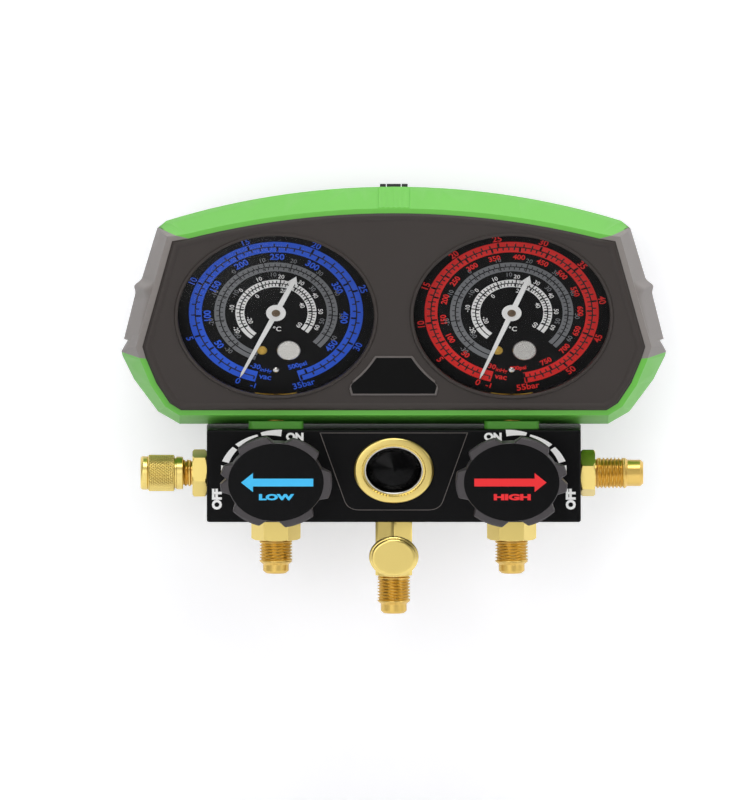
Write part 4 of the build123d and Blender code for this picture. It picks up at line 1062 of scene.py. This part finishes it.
# %% Carrying pad on the top bumper
PAD_HALF = 5.4
CREST = 175.1
CREST_FRONT = 167.9
CROWN_HALF = 76.0
CROWN_SAG = 14.0
RIB_PITCH = 1.8
x_line = np.concatenate([[-PAD_HALF], np.linspace(-PAD_HALF + 0.25, PAD_HALF - 0.25, 25), [PAD_HALF]])
depth_line = np.concatenate([[-14.9], np.linspace(-14.7, 2.4, 12), [2.7]])
x_grid, y_grid = np.meshgrid(x_line, depth_line, indexing="ij")
slope = (CREST - CREST_FRONT) / 18.0
sag = (x_grid / CROWN_HALF) ** 2 * CROWN_SAG
ribs = 0.12 * np.cos(x_grid * 2 * np.pi / RIB_PITCH) * (np.abs(x_grid) < 4.5)
border = (np.abs(x_grid) >= PAD_HALF) | (y_grid <= -14.85) | (y_grid >= 2.65)
height = CREST_FRONT + (y_grid + 15.0) * slope - sag + np.where(border, -0.2, 0.32 + ribs)
height = np.minimum(height, CREST - 0.01)
points = np.stack([x_grid, y_grid, height], -1).reshape(-1, 3)
pad_shape = (points, grid_cells(*x_grid.shape))
piece("top_bumper_pad", pad_shape, green_rubber, "manifold", crease=40)
print("knuckles and pad moulded")

# %% [markdown]
# ## Studio
#
# A product picture has a white ground that still takes a soft shadow. The floor and the backdrop are
# white to the camera, to gloss and to glass by their own colour, and their diffuse part keeps the
# shadow. From behind, the backdrop is clear, so the back can be looked at too.


# %% Stage
def studio_white():
    """White paper: diffuse light for the shadow plus its own glow for camera, glossy and glass rays."""
    material = bpy.data.materials.new("white studio paper")
    material.use_nodes = True
    tree = material.node_tree
    tree.nodes.clear()
    paper = add_node(tree, "ShaderNodeBsdfDiffuse", {"Color": (0.9, 0.9, 0.92, 1.0)})
    glow = add_node(tree, "ShaderNodeEmission", {"Color": (1.0, 1.0, 1.0, 1.0), "Strength": 0.34})
    ray = add_node(tree, "ShaderNodeLightPath")
    seen = ray.outputs["Is Camera Ray"]
    for kind in ("Is Glossy Ray", "Is Transmission Ray"):
        either = add_node(tree, "ShaderNodeMath", {0: seen, 1: ray.outputs[kind]}, operation="MAXIMUM")
        seen = either.outputs[0]
    dark = add_node(tree, "ShaderNodeEmission", {"Strength": 0.0})
    glow_seen = add_node(tree, "ShaderNodeMixShader", {0: seen, 1: dark.outputs[0], 2: glow.outputs[0]})
    both = add_node(tree, "ShaderNodeAddShader", {0: paper.outputs[0], 1: glow_seen.outputs[0]})
    clear = add_node(tree, "ShaderNodeBsdfTransparent")
    facing = add_node(tree, "ShaderNodeNewGeometry")
    behind = facing.outputs["Backfacing"]
    sided = add_node(tree, "ShaderNodeMixShader", {0: behind, 1: both.outputs[0], 2: clear.outputs[0]})
    out = add_node(tree, "ShaderNodeOutputMaterial")
    tree.links.new(sided.outputs[0], out.inputs["Surface"])
    return material


def stage_sheet(name, corners, material):
    """One four-cornered sheet, corners in millimetres, wound to face the object."""
    mesh = bpy.data.meshes.new(name)
    mesh.from_pydata((np.array(corners, float) * MM).tolist(), [], [(0, 1, 2, 3)])
    mesh.materials.append(material)
    sheet = bpy.data.objects.new(name, mesh)
    bpy.context.collection.objects.link(sheet)
    return sheet


paper = studio_white()
BACKDROP_Y = 44.0
FAR = 1500.0
stage_sheet(
    "backdrop",
    [(-FAR, BACKDROP_Y, -FAR), (FAR, BACKDROP_Y, -FAR), (FAR, BACKDROP_Y, FAR), (-FAR, BACKDROP_Y, FAR)],
    paper,
)
FLOOR_Z = -88.0
stage_sheet(
    "floor",
    [(-FAR, -FAR, FLOOR_Z), (FAR, -FAR, FLOOR_Z), (FAR, BACKDROP_Y, FLOOR_Z), (-FAR, BACKDROP_Y, FLOOR_Z)],
    paper,
)
print("backdrop", BACKDROP_Y, "mm behind the port axes, floor at", FLOOR_Z, "mm")

# %% [markdown]
# ## Light
#
# One wide softbox hangs above and before the set, so that upper faces are the brightest. Two weaker
# ones fill from the front and from the right. The world adds an even grey, so no side goes black.


# %% World and lamps
def softbox(name, place, target, size, watts):
    """Square area lamp at a place, aimed at a target, both in millimetres."""
    data = bpy.data.lights.new(name, "AREA")
    data.shape = "SQUARE"
    data.size = size * MM
    data.energy = watts
    lamp = bpy.data.objects.new(name, data)
    bpy.context.collection.objects.link(lamp)
    lamp.location = Vector(place) * MM
    aim = (Vector(target) - Vector(place)).to_track_quat("-Z", "Y")
    lamp.rotation_euler = aim.to_euler()
    return lamp


world = bpy.data.worlds.new("studio air")
bpy.context.scene.world = world
world.use_nodes = True
world.node_tree.nodes.clear()
ray = add_node(world.node_tree, "ShaderNodeLightPath")
strength = add_node(
    world.node_tree,
    "ShaderNodeMapRange",
    {"Value": ray.outputs["Is Camera Ray"], "To Min": 0.24, "To Max": 1.0},
)
air = add_node(
    world.node_tree,
    "ShaderNodeBackground",
    {"Color": (1.0, 1.0, 1.0, 1.0), "Strength": strength.outputs["Result"]},
)
out = add_node(world.node_tree, "ShaderNodeOutputWorld")
world.node_tree.links.new(air.outputs[0], out.inputs["Surface"])
object_middle = (0.0, 0.0, 90.0)
softbox("top softbox", (0.0, -420.0, 1050.0), object_middle, 650.0, 6.6)
softbox("front softbox", (-350.0, -1100.0, 350.0), object_middle, 700.0, 3.0)
softbox("right softbox", (800.0, -500.0, 300.0), object_middle, 500.0, 1.7)
print("lamps:", 3)

# %% [markdown]
# ## Camera
#
# This product view shows the set 1.22 times wider for its height than it is. A camera whose picture
# plane leans, with its view direction kept, widens what it sees in just that way, and the set keeps
# its true shape. With t the lean, the plane's side axis is cos t * X + sin t * view, so X is cut short by
# cos t, and everything seen is 1 / cos t wider. The lean rides on a parent, which the other views drop.

# %% Camera with a leaning picture plane
PIXELS = 800
PIXELS_PER_MM = 2.43
SQUASH = 2.43 / 2.97
TILT = math.radians(5.5)
PICTURE_MIDDLE = (-6.3, 0.0, 87.6)
camera_data = bpy.data.cameras.new("camera")
camera_data.type = "ORTHO"
camera_data.ortho_scale = PIXELS / PIXELS_PER_MM * MM * math.cos(TILT)
camera_data.clip_start = 0.01
camera_data.clip_end = 10.0
camera = bpy.data.objects.new("camera", camera_data)
bpy.context.collection.objects.link(camera)
view = Vector((0, math.cos(TILT), -math.sin(TILT)))
lean = math.acos(SQUASH)
side_axis = math.cos(lean) * Vector((1, 0, 0)) + math.sin(lean) * view
up_axis = Vector((0, math.sin(TILT), math.cos(TILT)))
back_axis = -view
spot = Vector(PICTURE_MIDDLE) * MM - view * 1.2
camera_rig = bpy.data.objects.new("camera_rig", None)
bpy.context.collection.objects.link(camera_rig)
camera.parent = camera_rig
camera.matrix_parent_inverse = Matrix(
    (
        (side_axis.x, up_axis.x, back_axis.x, spot.x),
        (side_axis.y, up_axis.y, back_axis.y, spot.y),
        (side_axis.z, up_axis.z, back_axis.z, spot.z),
        (0, 0, 0, 1),
    )
)
bpy.context.scene.camera = camera
bpy.context.scene.view_settings.view_transform = "Standard"
print("lean", round(math.degrees(lean), 1), "degrees")
